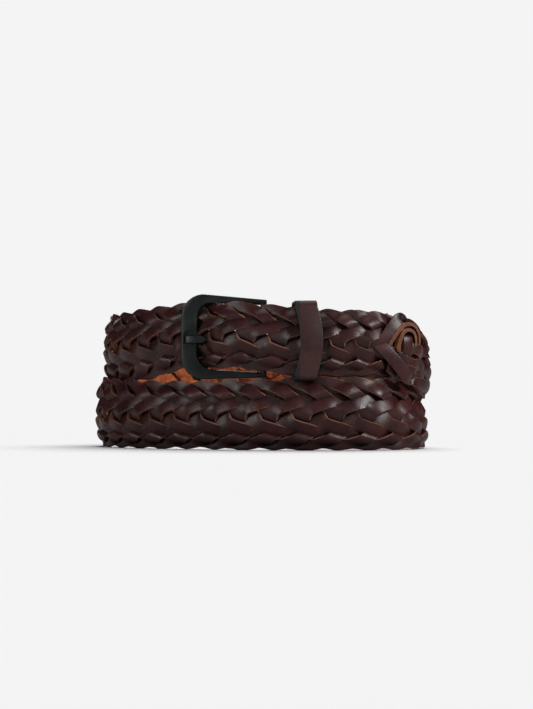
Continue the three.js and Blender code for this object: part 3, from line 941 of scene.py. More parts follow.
@dataclass
class Braid:
    """The nine strands of the strap, each over two and under two of the others."""

    route: Route
    strands: int = 9
    strand_width: float = 6.1 * MM
    roll: float = 0.85 * MM
    leather: float = 1.8 * MM
    lift: float = 1.75 * MM
    crown: float = 0.22 * MM
    edge_round: float = 0.22 * MM
    across_strand: tuple[float, ...] = (-1, -0.87, -0.45, 0, 0.45, 0.87, 1)
    turn_at: float = 0.35
    turn_blend: float = 0.25
    step: float = 1.0 * MM
    under_knot: float = 5 * MM

    # Irregularities: sideways, share of the width, out of the face, and half pitches between them
    wander: float = 0.22 * MM
    width_drift: float = 0.05
    depth_drift: float = 0.12 * MM
    drift_every: float = 2.2
    seed: int = 7

    # Near the knot the braid sinks under it: how deep, from where on and over what length
    tuck: float = 2.4 * MM
    tuck_before: float = 3 * MM
    tuck_over: float = 7 * MM

    # Where the two turns lie close together at the front: how far the upper one's lower edge
    # hangs down and the lower one's upper edge stands up, at what turns, and how that fades
    droop: float = 2.8 * MM
    rise: float = 1.5 * MM
    hanging_turns: tuple[float, float] = (1.6, 1.9)
    standing_turns: tuple[tuple[float, float], ...] = ((0.6, 0.88), (0.97, 1.16))
    fades: tuple[float, float] = (0.08, 0.06)
    moved_from: float = 6 * MM
    moved_over: float = 10 * MM

    # The prong's hole: its place back from the hinge bar and over the strap's middle, how far it
    # reaches along and across the strap, the width of its slit and how far it pushes the strands
    hole: tuple[float, float] = (28.6 * MM, -1.8 * MM)
    hole_reach: tuple[float, float] = (4.6 * MM, 5.0 * MM)
    hole_slit: float = 0.8 * MM
    hole_push: float = 2.2 * MM

    # Height of a strand over the strap's middle in millimetres, by the half pitches that it has
    # run: steep where the others hide it, and flatter towards the outer side of each row
    zigzag: tuple[tuple[float, float], ...] = (
        (0, 14.3), (0.7, 15.7), (1.5, 14.6), (2.6, 10.2), (3.45, 4.2), (4.33, -2.0),
        (5.25, -5.3), (6.18, -7.6), (6.7, -9.0), (8, -12.0), (9, -13.8), (9.6, -14.7),
        (10.2, -14.1), (10.9, -12.4), (11.6, -10.0), (12.4, -5.2), (13.15, -0.5), (14.1, 4.3),
        (15.1, 6.8), (15.85, 7.9), (17, 11.4),
    )
    top_at: float = 0.7
    bottom_at: float = 9.6
    # By the crossings since a strand's last turn: its level, from 1 on top to -1 below, how far
    # it rolls so that its edge nearer the strap's middle stands out, and its share of the width
    weave: tuple[tuple[float, float, float, float], ...] = (
        (0, -0.85, 0, 0.92), (0.4, -0.65, 0, 0.88), (0.75, -0.3, 0, 0.84), (1.0, 0.1, 0, 0.86),
        (1.25, 0.6, 0.2, 0.88), (1.5, 1.0, 0.7, 0.91), (1.8, 1.15, 1, 0.91),
        (2.0, 1.05, 1, 0.87), (2.18, 0.7, 0.8, 0.84), (2.35, -0.15, 0.3, 0.86),
        (2.6, -0.85, 0, 1), (2.8, -1.1, 0, 1.15), (3.5, -1.15, 0, 1.35), (4.0, -1.15, 0, 1.65),
        (4.22, -0.75, 0.5, 1.55), (4.42, 0.1, 1.3, 1.02), (4.65, 0.5, 1.5, 0.95),
        (4.9, 0.8, 1.4, 0.95), (5.1, 1.05, 1.25, 0.96), (5.3, 1.2, 1.2, 0.97),
        (5.6, 1.2, 1, 0.96), (5.85, 0.95, 0.6, 0.93), (6.05, 0.55, 0.2, 0.9),
        (6.25, 0.2, 0, 0.88), (6.45, -0.1, 0, 0.86), (6.7, -0.7, 0, 0.97), (6.9, -1.1, 0, 1.15),
        (8, -1.1, 0, 1.15), (8.6, -1, 0, 0.95), (9, -0.85, 0, 0.92),
    )

    def build(self, finishes: Finishes) -> list[bpy.types.Object]:
        """Make the strands.

        Args:
            finishes: The belt's materials.

        Returns:
            The strands.
        """
        tones = (Tone.MIDDLE, Tone.DEEP, Tone.WARM)
        pieces = []
        for number in range(self.strands):
            points = self.middle_surface(number)
            strand = leather_strip(f"strand_{number + 1}", points, self.leather,
                                   finishes.for_strand(tones[(number * 2) % 3]),
                                   self.edge_round)
            stand_on_floor(strand)
            pieces.append(strand)
        return pieces

    def middle_surface(self, number: int) -> np.ndarray:
        """Work out the middle surface of one strand, as rows of points across it.

        Args:
            number: Which strand, from 0.

        Returns:
            Points of the sheet: along, across, and three coordinates.
        """
        route = self.route
        first, last = route.strands_passed(np.array([route.start, route.end + self.under_knot]))
        per_half = self.step / (route.strap.pitch / 2)
        passed = np.arange(first * 2, last * 2, per_half)
        phase = passed - 2 * number
        drift = self._drift(np.random.default_rng(self.seed + number), passed)
        counted = route.strands_passed(route.s) * 2
        centre = np.stack([np.interp(passed, counted, route.s),
                           self._height(phase) + drift[0]], axis=1)
        tangent = np.gradient(centre, axis=0)
        tangent[:, 1] *= np.interp(centre[:, 0], route.s, route.wide)
        tangent /= np.linalg.norm(tangent, axis=1, keepdims=True)
        normal = np.stack([-tangent[:, 1], tangent[:, 0]], axis=1)
        v = np.array(self.across_strand)
        run, falling = self._run(phase)
        half = self.strand_width / 2 * (1 + drift[1]) * self._weave(3, run)
        s = centre[:, :1] + normal[:, :1] * half[:, None] * v
        across = centre[:, 1:] + normal[:, 1:] * half[:, None] * v
        level = self._weave(1, self._crossing(phase, s, across))
        deep = self.lift * level + self.crown * (0.5 - v * v)
        outer = np.where(falling == (run > self.strands / 2 - 1), 1, -1)
        deep = deep + (self.roll * self._weave(2, run) * outer)[:, None] * v
        sunk = self.tuck * ease((s - route.end + self.tuck_before) / self.tuck_over)
        deep = deep + drift[2][:, None] - sunk
        across = self._round_prong(s, across)
        return route.place(s, across + self._droop(s, across), deep)[:, ::-1]

    def _drift(self, rng: np.random.Generator, passed: np.ndarray) -> list[np.ndarray]:
        """Draw a strand's small irregularities: sideways, in its width and out of the face.

        Args:
            rng: The strand's own random numbers.
            passed: Half pitches along the strap.

        Returns:
            The three drifts at each place.
        """
        span = passed[-1] - passed[0]
        knots = np.linspace(passed[0], passed[-1], int(span / self.drift_every) + 2)
        drawn = []
        for size in (self.wander, self.width_drift, self.depth_drift):
            values = rng.uniform(-size, size, len(knots))
            i = np.clip(np.searchsorted(knots, passed, side="right") - 1, 0, len(knots) - 2)
            t = ease((passed - knots[i]) / (knots[i + 1] - knots[i]))
            drawn.append(values[i] * (1 - t) + values[i + 1] * t)
        return drawn

    def _height(self, phase: np.ndarray) -> np.ndarray:
        """Height of a strand over the strap's middle: it zigzags from edge to edge.

        Args:
            phase: Half pitches that the strand has run.

        Returns:
            Heights in metres.
        """
        period = 2 * self.strands
        ahead = [(at + lap * period, high) for lap in (-1, 0, 1) for at, high in self.zigzag]
        places, heights = np.array(ahead).T
        return curve_through(places, heights * MM, np.mod(phase, period))

    def _run(self, phase: np.ndarray) -> tuple[np.ndarray, np.ndarray]:
        """Split a strand's phase into its place since the last turn and whether it falls.

        Args:
            phase: Half pitches that the strand has run.

        Returns:
            Its place since the last turn, and whether it falls.
        """
        turned = np.mod(phase - self.turn_at, 2 * self.strands)
        falling = turned < self.strands
        return np.where(falling, turned, turned - self.strands), falling

    def _weave(self, column: int, crossing: np.ndarray) -> np.ndarray:
        """Read one column of the weave's table at crossings."""
        table = np.array(self.weave).T
        return curve_through(table[0], table[column], crossing)

    def _crossing(self, phase: np.ndarray, s: np.ndarray, across: np.ndarray) -> np.ndarray:
        """Count which crossing each point of a strand lies nearest to, from its last turn.

        Args:
            phase: Phase of the strand's rows of points.
            s: Distances of the points along the strap.
            across: Heights of the points over the strap's middle.

        Returns:
            The crossings, whole where the middle of another strand passes.
        """
        run, falling = self._run(phase)
        place = (run + np.where(falling, 0, self.strands) + self.turn_at)[:, None]
        passed = self.route.strands_passed(s) * 2
        middle = len(self.across_strand) // 2
        place = place + passed - passed[:, middle:middle + 1]
        period = 2 * self.strands
        down = np.linspace(self.top_at, self.bottom_at, 200)
        up = np.linspace(self.bottom_at, self.top_at + period, 200)
        other_falling = np.interp(-across, -self._height(down), down)
        other_rising = period - np.interp(across, self._height(up), up)
        met_falling = (other_rising + place) / 2
        met_rising = self.strands - (other_falling + period - place) / 2
        exact = np.where(falling[:, None], met_falling, met_rising)
        inside = ease(np.minimum(run, self.strands - run) - self.turn_blend)[:, None]
        return run[:, None] + (exact - run[:, None]) * inside

    def _droop(self, s: np.ndarray, across: np.ndarray) -> np.ndarray:
        """Move the edges where the two turns lie close together at the front.

        Args:
            s: Distances of the points along the strap.
            across: Heights of the points over the strap's middle.

        Returns:
            How far each point moves up.
        """
        hanging = self._within(s, self.hanging_turns)
        standing = sum(self._within(s, turns) for turns in self.standing_turns)
        low, high = (ease((side * across - self.moved_from) / self.moved_over) for side in (-1, 1))
        return self.rise * standing * high - self.droop * hanging * low

    def _within(self, s: np.ndarray, turns: tuple[float, float]) -> np.ndarray:
        """Give 1 between two places along the strap, in turns, fading to 0 inside its ends.

        Args:
            s: Distances along the strap.
            turns: The two places.

        Returns:
            A share from 0 to 1.
        """
        at = s / self.route.loop
        rising, falling = self.fades
        return ease((at - turns[0]) / rising) * ease((turns[1] - at) / falling)

    def _round_prong(self, s: np.ndarray, across: np.ndarray) -> np.ndarray:
        """Push the strands apart where the prong goes through, and give their new heights.

        Args:
            s: Distances of the points along the strap.
            across: Heights of the points over the strap's middle.

        Returns:
            The new heights.
        """
        back, high = self.hole
        along_reach, across_reach = self.hole_reach
        away = across - high
        along = (s - (2 * self.route.loop - back)) / along_reach
        near = np.exp(-(along**2)) * np.exp(-np.abs(away) / across_reach)
        return across + np.tanh(away / self.hole_slit) * self.hole_push * near


# ---------------------------------------------------------------------------------------------
# The buckle
# ---------------------------------------------------------------------------------------------


@dataclass
class BuckleMetal:
    """The blackened frame with its hinge bar, and the prong that lies in the frame's notch."""

    route: Route
    half_height: float = 22.0 * MM
    hinge_half: float = 20.0 * MM
    side_bar: float = 4.8 * MM
    side_bar_end: float = 2.8 * MM
    corner: float = 12.0 * MM
    window_top: float = 7.5 * MM
    window_bottom: float = 9.5 * MM
    past_hinge: float = 1.4 * MM
    edge: float = 1.05 * MM
    dome: float = 0.12 * MM
    pin: float = 1.6 * MM
    pin_chamfer: float = 0.4 * MM
    notch_height: float = 7.3 * MM
    notch_length: float = 6.8 * MM
    notch_depth: float = 1.4 * MM
    notch_corners: tuple[float, float] = (3.4 * MM, 0.9 * MM)
    notch_edge: float = 0.3 * MM
    prong_width: float = 3.8 * MM
    prong_thickness: float = 2.2 * MM
    prong_edge: float = 0.42 * MM
    prong_drop: float = 1.5 * MM
    overhang: float = 1.2 * MM
    ring_thickness: float = 1.3 * MM
    ring_edge: float = 0.2 * MM
    clearance: float = 0.3 * MM
    sharp_edge: float = 38

    def __post_init__(self) -> None:
        """Find the buckle's own axes: from the hinge to the front bar, up, and out of its face."""
        route, sizes = self.route, self.route.buckle
        hinge = route.plan_point(np.array(0.0), route.tab_out)
        bar = route.plan_point(np.array(-sizes.reach), sizes.front_bar_out)
        along = (bar - hinge) / np.linalg.norm(bar - hinge)
        out = np.array([-along[1], along[0]])
        out *= np.sign(out @ route.outward(np.array(0.0)))
        flat = hinge + np.array(route.centring)
        self.origin = np.array([flat[0], flat[1], route.upper_row + sizes.lift])
        self.axes = np.array([[along[0], along[1], 0], [0, 0, 1], [out[0], out[1], 0]])

    def put(self, local: np.ndarray) -> np.ndarray:
        """Move points from the buckle's own axes to their place."""
        return self.origin + local @ self.axes

    def build_frame(self, finishes: Finishes) -> bpy.types.Object:
        """Make the frame: side bars that thin towards the hinge, front bar, notch and hinge bar.

        Args:
            finishes: The belt's materials.

        Returns:
            The frame.
        """
        inner, outer = self._outlines()
        half = self.route.buckle.thickness / 2
        sections = []
        for a, b in zip(inner, outer):
            wide = np.linalg.norm(b - a)
            ring = rounded_ring(wide / 2, half, self.edge, self.dome)
            flat = (a + b) / 2 + ring[:, :1] * (b - a) / wide
            sections.append(self.put(np.column_stack([flat, ring[:, 1]])))
        body = loft("buckle_body", np.array(sections))
        self._cut_notch(body)
        round_the_pin = arc((0, 0), self.pin, 0, 345, 24)
        reach = self.hinge_half - self.side_bar_end / 2
        chamfered, thinned = reach - self.pin_chamfer, 0.6
        pin = [self.put(np.column_stack([size * round_the_pin[:, 0],
                                         np.full(24, high - self.route.buckle.hinge_drop),
                                         size * round_the_pin[:, 1]]))
               for high, size in ((-reach, thinned), (-chamfered, 1), (chamfered, 1),
                                  (reach, thinned))]
        return self._blacken("satin_frame", [body, loft("hinge_bar", np.array(pin))], finishes)

    def _blacken(self, name: str, parts: list[bpy.types.Object],
                 finishes: Finishes) -> bpy.types.Object:
        """Join parts into one piece of blackened metal.

        Args:
            name: Name of the piece.
            parts: Its parts.
            finishes: The belt's materials.

        Returns:
            The piece.
        """
        piece = joined(name, parts)
        piece.data.materials.append(finishes.metal)
        select_only(piece)
        bpy.ops.object.shade_smooth_by_angle(angle=math.radians(self.sharp_edge))
        return piece

    def _outlines(self) -> list[np.ndarray]:
        """Give matching points of the window's outline and the frame's outline.

        Returns:
            The two outlines.
        """
        sizes = self.route.buckle
        outlines = []
        for x, y, end_y, top, bottom in (
            (sizes.window, self.half_height - self.side_bar, self.hinge_half - self.side_bar_end,
             self.window_top, self.window_bottom),
            (sizes.reach + sizes.bar_width / 2, self.half_height, self.hinge_half,
             self.corner, self.corner),
        ):
            upper, lower = ((-self.past_hinge, side * end_y - sizes.hinge_drop)
                            for side in (1, -1))
            outlines.append(np.concatenate([
                np.linspace(upper, (x - top, y), 15)[:-1],
                arc((x - top, y - top), top, 90, 0, 17),
                np.linspace((x, y - top), (x, bottom - y), 11)[1:-1],
                arc((x - bottom, bottom - y), bottom, 0, -90, 17),
                np.linspace((x - bottom, -y), lower, 15)[1:],
            ]))
        return outlines

    def _cut_notch(self, body: bpy.types.Object) -> None:
        """Cut the prong's seat into the front bar, rounded at its upper end.

        Args:
            body: The frame without its hinge bar.
        """
        window = self.route.buckle.window
        half = self.notch_height / 2
        end = window + self.notch_length
        upper, lower = self.notch_corners
        outline = np.concatenate([
            [(window - 2 * MM, half)],
            arc((end - upper, half - upper), upper, 90, 0, 9),
            arc((end - lower, lower - half), lower, 0, -90, 9),
            [(window - 2 * MM, -half)],
        ])
        floor = self.route.buckle.thickness / 2 - self.notch_depth
        levels = [self.put(np.column_stack([outline, np.full(len(outline), level)]))
                  for level in (floor, floor + 5 * MM)]
        cutter = loft("notch_cutter", np.array(levels))
        apply_modifier(body, "BOOLEAN", operation="DIFFERENCE", object=cutter, solver="EXACT")
        bpy.data.objects.remove(cutter)
        round_edges(body, self.notch_edge, segments=2, sharper_than=45)

    def build_prong(self, finishes: Finishes) -> bpy.types.Object:
        """Make the prong: a ring round the hinge bar, a shank and a tip with a pointed bend.

        Args:
            finishes: The belt's materials.

        Returns:
            The prong.
        """
        sizes = self.route.buckle
        rest = sizes.thickness / 2 - self.notch_depth + self.clearance + self.prong_thickness / 2
        tip = sizes.reach + self.overhang
        # From the hinge, out of the face, share of the width, share of the thickness
        rows = [(2.6 * MM, 0, 0.8, 0.9), (20 * MM, 0, 0.8, 0.9), (26.5 * MM, 0.1 * MM, 0.75, 0.9),
                (28.8 * MM, 0.45 * MM, 0.45, 0.8), (30.2 * MM, 0.95 * MM, 0.4, 0.75),
                (31.2 * MM, 0.86 * rest, 0.72, 0.9), (32.4 * MM, rest, 1, 1),
                (tip - 0.5 * MM, rest, 1, 1), (tip, rest, 0.86, 0.75)]
        sections = []
        for along, out, wide, thick in rows:
            ring = rounded_ring(wide * self.prong_width / 2, thick * self.prong_thickness / 2,
                                self.prong_edge)
            sections.append(self.put(np.column_stack([
                np.full(len(ring), along), ring[:, 0] - self.prong_drop, ring[:, 1] + out])))
        half = self.ring_thickness / 2
        ring = rounded_ring(half, 0.8 * self.prong_width / 2, self.ring_edge)
        out = self.pin + self.clearance + half + ring[:, 0]
        turn = [self.put(np.column_stack([
            out * math.cos(angle), ring[:, 1] - self.prong_drop, out * math.sin(angle)]))
            for angle in np.linspace(0, 2 * math.pi, 28, endpoint=False)]
        shank = loft("prong_shank", np.array(sections))
        eye = loft("prong_ring", np.array(turn), closed=True)
        return self._blacken("satin_prong", [shank, eye], finishes)


# ---------------------------------------------------------------------------------------------
# Keeper, tab and knot
# ---------------------------------------------------------------------------------------------


@dataclass
class SmoothLeather:
    """The keeper and the tab: plain leather with painted edges."""

    route: Route
    keeper_width: float = 10.9 * MM
    keeper_leather: float = 1.7 * MM
    keeper_start: float = 18.9 * MM
    keeper_edge: float = 0.6 * MM
    front_room: float = 2.75 * MM
    back_room: float = 0.85 * MM
    side_room: float = 1.15 * MM
    bow: float = 2.8 * MM
    lean: float = 4.5 * MM
    crown: float = 1.3 * MM
    dome: float = 0.18 * MM
    corner: float = 2.6 * MM
    columns: int = 9
    # The share of the keeper's width in the edge-paint colour, partly real edge paint and partly
    # painted shade between the keeper and the strap: halfway up its front, and more at its ends
    painted: float = 0.05
    more_paint_and_shade: float = 0.2
    tab_edge: float = 0.4 * MM
    tab_edge_slope: float = 0.3

    def build_keeper(self, finishes: Finishes) -> bpy.types.Object:
        """Make the keeper: a band round the strap, bowed sideways at its front.

        Args:
            finishes: The belt's materials.

        Returns:
            The keeper.
        """
        route, strap = self.route, self.route.strap
        half_leather = self.keeper_leather / 2
        front = strap.tip_out + self.front_room + half_leather
        behind = strap.thickness / 2 + strap.tab_thickness + self.back_room + half_leather
        back = route.tab_out - behind
        straight = strap.width / 2 + self.side_room + half_leather - self.corner
        # Round the strap: out of the face, up, and how far the place bulges
        ring = [(front, share * straight, 1 - share * share)
                for share in np.linspace(-1, 1, 29)[1:-1]]
        for start, deep, high in ((0, front, 1), (90, back, 1), (180, back, -1), (270, front, -1)):
            inwards = -self.corner if deep == front else self.corner
            turn = arc((deep + inwards, high * straight), self.corner, start, start + 90, 9)
            ring += [(out, up, 0.0) for out, up in turn]
            if start == 90:
                ring += [(back, share * straight, 0.0) for share in np.linspace(1, -1, 15)[1:-1]]
        dome = self.dome * (1 - np.linspace(-1, 1, self.columns) ** 2)
        points = []
        for deep, high, bulge in ring:
            shift = self.bow * bulge - self.lean * (front - deep) / (front - back)
            painted = self.painted + self.more_paint_and_shade * (1 - bulge) ** 2
            shares = np.append(0, np.linspace(painted, 1, self.columns - 1))
            out = deep + self.crown * bulge + dome * (deep > 0)
            flat = route.plan_point(self.keeper_start + shift + shares * self.keeper_width, out)
            flat = flat + np.array(route.centring)
            points.append(np.column_stack([flat, np.full(self.columns, route.upper_row + high)]))
        band = sheet_of("keeper_band", np.array([*points, points[0]])[:, ::-1])
        for material in (finishes.smooth, finishes.flesh, finishes.painted):
            band.data.materials.append(material)
        # The first strip of the front, after the flip the last column, takes the edge paint: real
        # edge paint and painted shade between keeper and strap
        faces = self.columns - 1
        for face in band.data.polygons:
            face.material_index = 2 if face.index % faces == faces - 1 else 0
        weld(band)
        apply_modifier(band, "SOLIDIFY", thickness=self.keeper_leather, offset=0.0,
                       material_offset=1, material_offset_rim=2, use_even_offset=True)
        round_edges(band, self.keeper_edge, segments=3, material=2)
        smooth(band)
        return band

    def build_tab(self, finishes: Finishes) -> bpy.types.Object:
        """Make the tab from its solid, with rounded painted edges.

        Args:
            finishes: The belt's materials.

        Returns:
            The tab.
        """
        tab = bpy.data.objects.new("hinge_tab", bpy.data.objects["buckle_tab"].data.copy())
        bpy.context.scene.collection.objects.link(tab)
        tab.data.materials.clear()
        for material in (finishes.smooth, finishes.painted):
            tab.data.materials.append(material)
        weld(tab, quads=True)
        round_edges(tab, self.tab_edge, segments=3)
        for face in tab.data.polygons:
            face.material_index = 1 if abs(face.normal.z) > self.tab_edge_slope else 0
        smooth(tab)
        return tab


@dataclass(frozen=True)
class KnotStrand:
    """One strand of the knot: points of its middle and how it stands at each of them.

    A point is its distance past the end of the braid, its height over the strap's middle, its
    distance out of the face, all in millimetres, and the angle by which the strand is turned on
    its edge, in degrees.
    """

    name: str
    points: tuple[tuple[float, float, float, float], ...]
    width: float = 5.6
    leather: float = 1.6
    tone: Tone = Tone.MIDDLE


@dataclass
class Knot:
    """The strap's free end: strands folded over, stood on edge and tucked in."""

    route: Route
    strands: tuple[KnotStrand, ...] = (
        KnotStrand("knot_rise", (
            (-8, -3.5, 0.4, 0), (-5.8, -1.1, 2.4, -6), (-2.7, 2.3, 3.4, -10), (0.2, 6.1, 3.9, -14),
            (2.5, 9.8, 4.0, -16), (5.1, 13.2, 3.6, -14), (7.2, 15.2, 2.4, 0), (9.4, 14.6, 0.6, 20),
            (11, 12.5, -0.8, 30)), tone=Tone.DEEP),
        KnotStrand("knot_outer_arch", (
            (-0.4, -2.6, 2.2, 88), (0.8, 0.2, 3.0, 90), (2.5, 3.4, 3.4, 90), (4.7, 7.0, 3.7, 90),
            (6.9, 9.7, 3.8, 90), (9.1, 11.3, 3.8, 90), (11.4, 11.4, 3.8, 90),
            (13.7, 10.2, 3.7, 90), (15.5, 7.6, 3.6, 90), (16.5, 4.6, 3.4, 90),
            (16.8, 1.4, 3.0, 88), (16.4, -2, 2.4, 84)),
            width=5.0, leather=1.75, tone=Tone.DEEP),
        KnotStrand("knot_inner_arch", (
            (4.9, -4.4, 3.9, 90), (4.9, -1.6, 4.1, 90), (5.4, 1.4, 4.3, 90), (6.3, 4.8, 4.4, 90),
            (7.8, 7.2, 4.4, 90), (10, 8.1, 4.4, 90), (12.2, 7.2, 4.4, 90), (13.5, 4.9, 4.3, 90),
            (14.1, 2.0, 4.1, 90), (14.1, -0.6, 3.7, 88)), width=4.8, leather=1.75, tone=Tone.WARM),
        KnotStrand("knot_core_strand", (
            (9.8, 4.6, 1.8, 0), (9.8, 4.8, 4.2, 0), (9.8, 3.6, 5.3, 0), (9.8, 0.6, 5.7, 0),
            (9.8, -2.6, 5.6, 0), (9.9, -5.6, 4.8, 0), (10, -8, 3.2, 0)), width=4.6, leather=1.9,
            tone=Tone.WARM),
        KnotStrand("knot_level", (
            (8.2, -1.4, 2.6, 0), (11, -1.7, 4.2, 0), (13.6, -2.2, 5.0, 0), (16.2, -2.9, 5.0, 0),
            (18.6, -3.8, 3.9, 0), (20.6, -4.6, 2.2, 0), (22.4, -5.4, 0.2, 0)), width=5.8,
            tone=Tone.WARM),
        KnotStrand("knot_cross", (
            (-0.8, -1.8, 1.8, 4), (1.9, -4.6, 3.3, 10), (6, -7.6, 4.2, 12), (10.4, -10.2, 4.5, 12),
            (14.4, -11.4, 4.2, 10), (17.4, -11.4, 3.0, 6), (19.6, -10.8, 1.0, 0)), width=6.0,
            tone=Tone.DEEP),
        KnotStrand("knot_fall", (
            (-5.2, 1.2, 1.8, 0), (-2.7, -2.2, 3.8, 8), (0.7, -6.7, 5.0, 12), (4.4, -11.4, 5.6, 14),
            (7.9, -15.8, 5.6, 12), (10.3, -18.6, 4.8, 6), (11.9, -19.8, 3.2, 0),
            (12.6, -19.4, 1.6, 0)), width=6.0),
        KnotStrand("knot_fold", (
            (9.6, -12.6, 3.6, 20), (11.8, -13.6, 4.8, 20), (14.0, -14.4, 4.6, 20),
            (15.8, -14.6, 3.0, 10)), width=3.4, leather=1.8, tone=Tone.DEEP),
        KnotStrand("knot_under", (
            (4.6, -16.6, -2.2, 0), (5.8, -16.9, 0.4, 0), (7.2, -17.2, 2.4, 0),
            (9.4, -16.6, 3.0, 0), (12.4, -17.2, 2.6, 0), (16, -15.6, 1.4, 0)), width=6.0),
        KnotStrand("knot_side", (
            (13.0, 3.0, -0.4, 0), (14.2, 0.4, 0.6, 0), (16.0, -3.0, 1.2, 0), (17.4, -7.4, 1.2, 0),
            (17.2, -11.8, 0.6, 0)), width=5.2, tone=Tone.DEEP),
    )
    across_strand: tuple[float, ...] = (-1, -0.86, -0.45, 0, 0.45, 0.86, 1)
    step: float = 0.6
    crown: float = 0.22
    softened: float = 1.2
    softened_less: float = 0.8
    edge_round: float = 0.35 * MM

    # The layer behind, in millimetres: places past the braid's end, its lower and upper edge there
    backing: tuple[tuple[float, float, float], ...] = (
        (1.5, -15.5, 11.0), (4, -17.4, 12.0), (7, -18.6, 11.8), (11, -19.2, 9.6),
        (13, -19.0, 6.6), (15.4, -17.6, 1.0), (17.2, -15.4, -4.0),
    )
    backing_out: float = 0.4 * MM
    backing_swell: float = 0.9 * MM
    backing_leather: float = 3.4 * MM
    backing_edge: float = 0.7 * MM

    def build(self, finishes: Finishes) -> list[bpy.types.Object]:
        """Make the knot's strands and the folded layer behind them.

        Args:
            finishes: The belt's materials.

        Returns:
            The pieces of the knot.
        """
        pieces = []
        for strand in self.strands:
            pieces.append(leather_strip(strand.name, self._sheet(strand), strand.leather * MM,
                                        finishes.for_strand(strand.tone), self.edge_round))
        pieces.append(self._backing(finishes))
        return pieces

    def _sheet(self, strand: KnotStrand) -> np.ndarray:
        """Work out the middle surface of one strand of the knot.

        Args:
            strand: The strand.

        Returns:
            Points of the sheet: along, across, and three coordinates.
        """
        table = np.array(strand.points)
        chord = np.append(0, np.cumsum(np.linalg.norm(np.diff(table[:, :3], axis=0), axis=1)))
        at = np.linspace(0, chord[-1], max(10, int(chord[-1] / self.step)))
        path = np.stack([self._through(chord, table[:, i], at) for i in range(4)], axis=1)
        tangent = np.gradient(path[:, :3], axis=0)
        tangent /= np.linalg.norm(tangent, axis=1, keepdims=True)
        face = np.array([0, 0, 1.0]) - tangent * tangent[:, 2:3]
        face /= np.linalg.norm(face, axis=1, keepdims=True)
        side = np.cross(face, tangent)
        turned = np.radians(path[:, 3:4])
        wide = side * np.cos(turned) + face * np.sin(turned)
        v = np.array(self.across_strand)[None, :, None]
        local = path[:, None, :3] + wide[:, None] * v * strand.width / 2
        local = local + np.cross(tangent, wide)[:, None] * self.crown * (0.5 - v * v)
        s, across, deep = (local[..., i] * MM for i in range(3))
        return self.route.place(self.route.end + s, across, deep)[:, ::-1]

    def _through(self, places: np.ndarray, values: np.ndarray, at: np.ndarray) -> np.ndarray:
        """Read a smooth curve through a strand's points, its corners rounded off.

        Args:
            places: Where the points stand.
            values: Their values.
            at: Where the curve is read.

        Returns:
            The values of the curve.
        """
        spread = np.linspace(-1, 1, 7)
        weight = 1 - spread**2 * self.softened_less
        shares = weight / np.sum(weight)
        return sum(share * curve_through(places, values, at + shift * self.softened)
                   for shift, share in zip(spread, shares))

    def _backing(self, finishes: Finishes) -> bpy.types.Object:
        """Make the layer of folded leather that the knot's strands lie on.

        Args:
            finishes: The belt's materials.

        Returns:
            The layer.
        """
        places, low, high = np.array(self.backing).T
        at = np.linspace(places[0], places[-1], 22)
        bottom, top = (curve_through(places, edge, at)[:, None] for edge in (low, high))
        v = np.linspace(0, 1, 25)[None]
        across = (bottom + (top - bottom) * v) * MM
        s = np.repeat(self.route.end + at[:, None] * MM, 25, axis=1)
        deep = self.backing_out + self.backing_swell * np.sin(np.pi * v)
        points = self.route.place(s, across, deep)[:, ::-1]
        return leather_strip("knot_backing", points, self.backing_leather,
                             finishes.for_strand(Tone.DEEP), self.backing_edge)


# ---------------------------------------------------------------------------------------------
# Studio
# ---------------------------------------------------------------------------------------------


def hang(data: bpy.types.Light, turn: Sequence[float], reached: bpy.types.Collection,
         place: Sequence[float] = (0, 0, 0)) -> None:
    """Put a light in the scene.

    Args:
        data: The light.
        turn: Its three angles.
        reached: What it lights or leaves out.
        place: Where it hangs.
    """
    lamp = bpy.data.objects.new(data.name, data)
    lamp.location = place
    lamp.rotation_euler = turn
    lamp.light_linking.receiver_collection = reached
    bpy.context.scene.collection.objects.link(lamp)


@dataclass(frozen=True)
class Softbox:
    """One soft light."""

    name: str
    place: tuple[float, float, float]
    aim: tuple[float, float, float]
    size: tuple[float, float]
    power: float

    def add(self, unlit: bpy.types.Collection) -> None:
        """Add the light to the scene.

        Args:
            unlit: What the light leaves out.
        """
        data = bpy.data.lights.new(self.name, "AREA")
        data.shape = "RECTANGLE"
        data.size, data.size_y = self.size
        data.energy = self.power
        direction = Vector(self.aim) - Vector(self.place)
        hang(data, direction.to_track_quat("-Z", "Y").to_euler(), unlit, self.place)


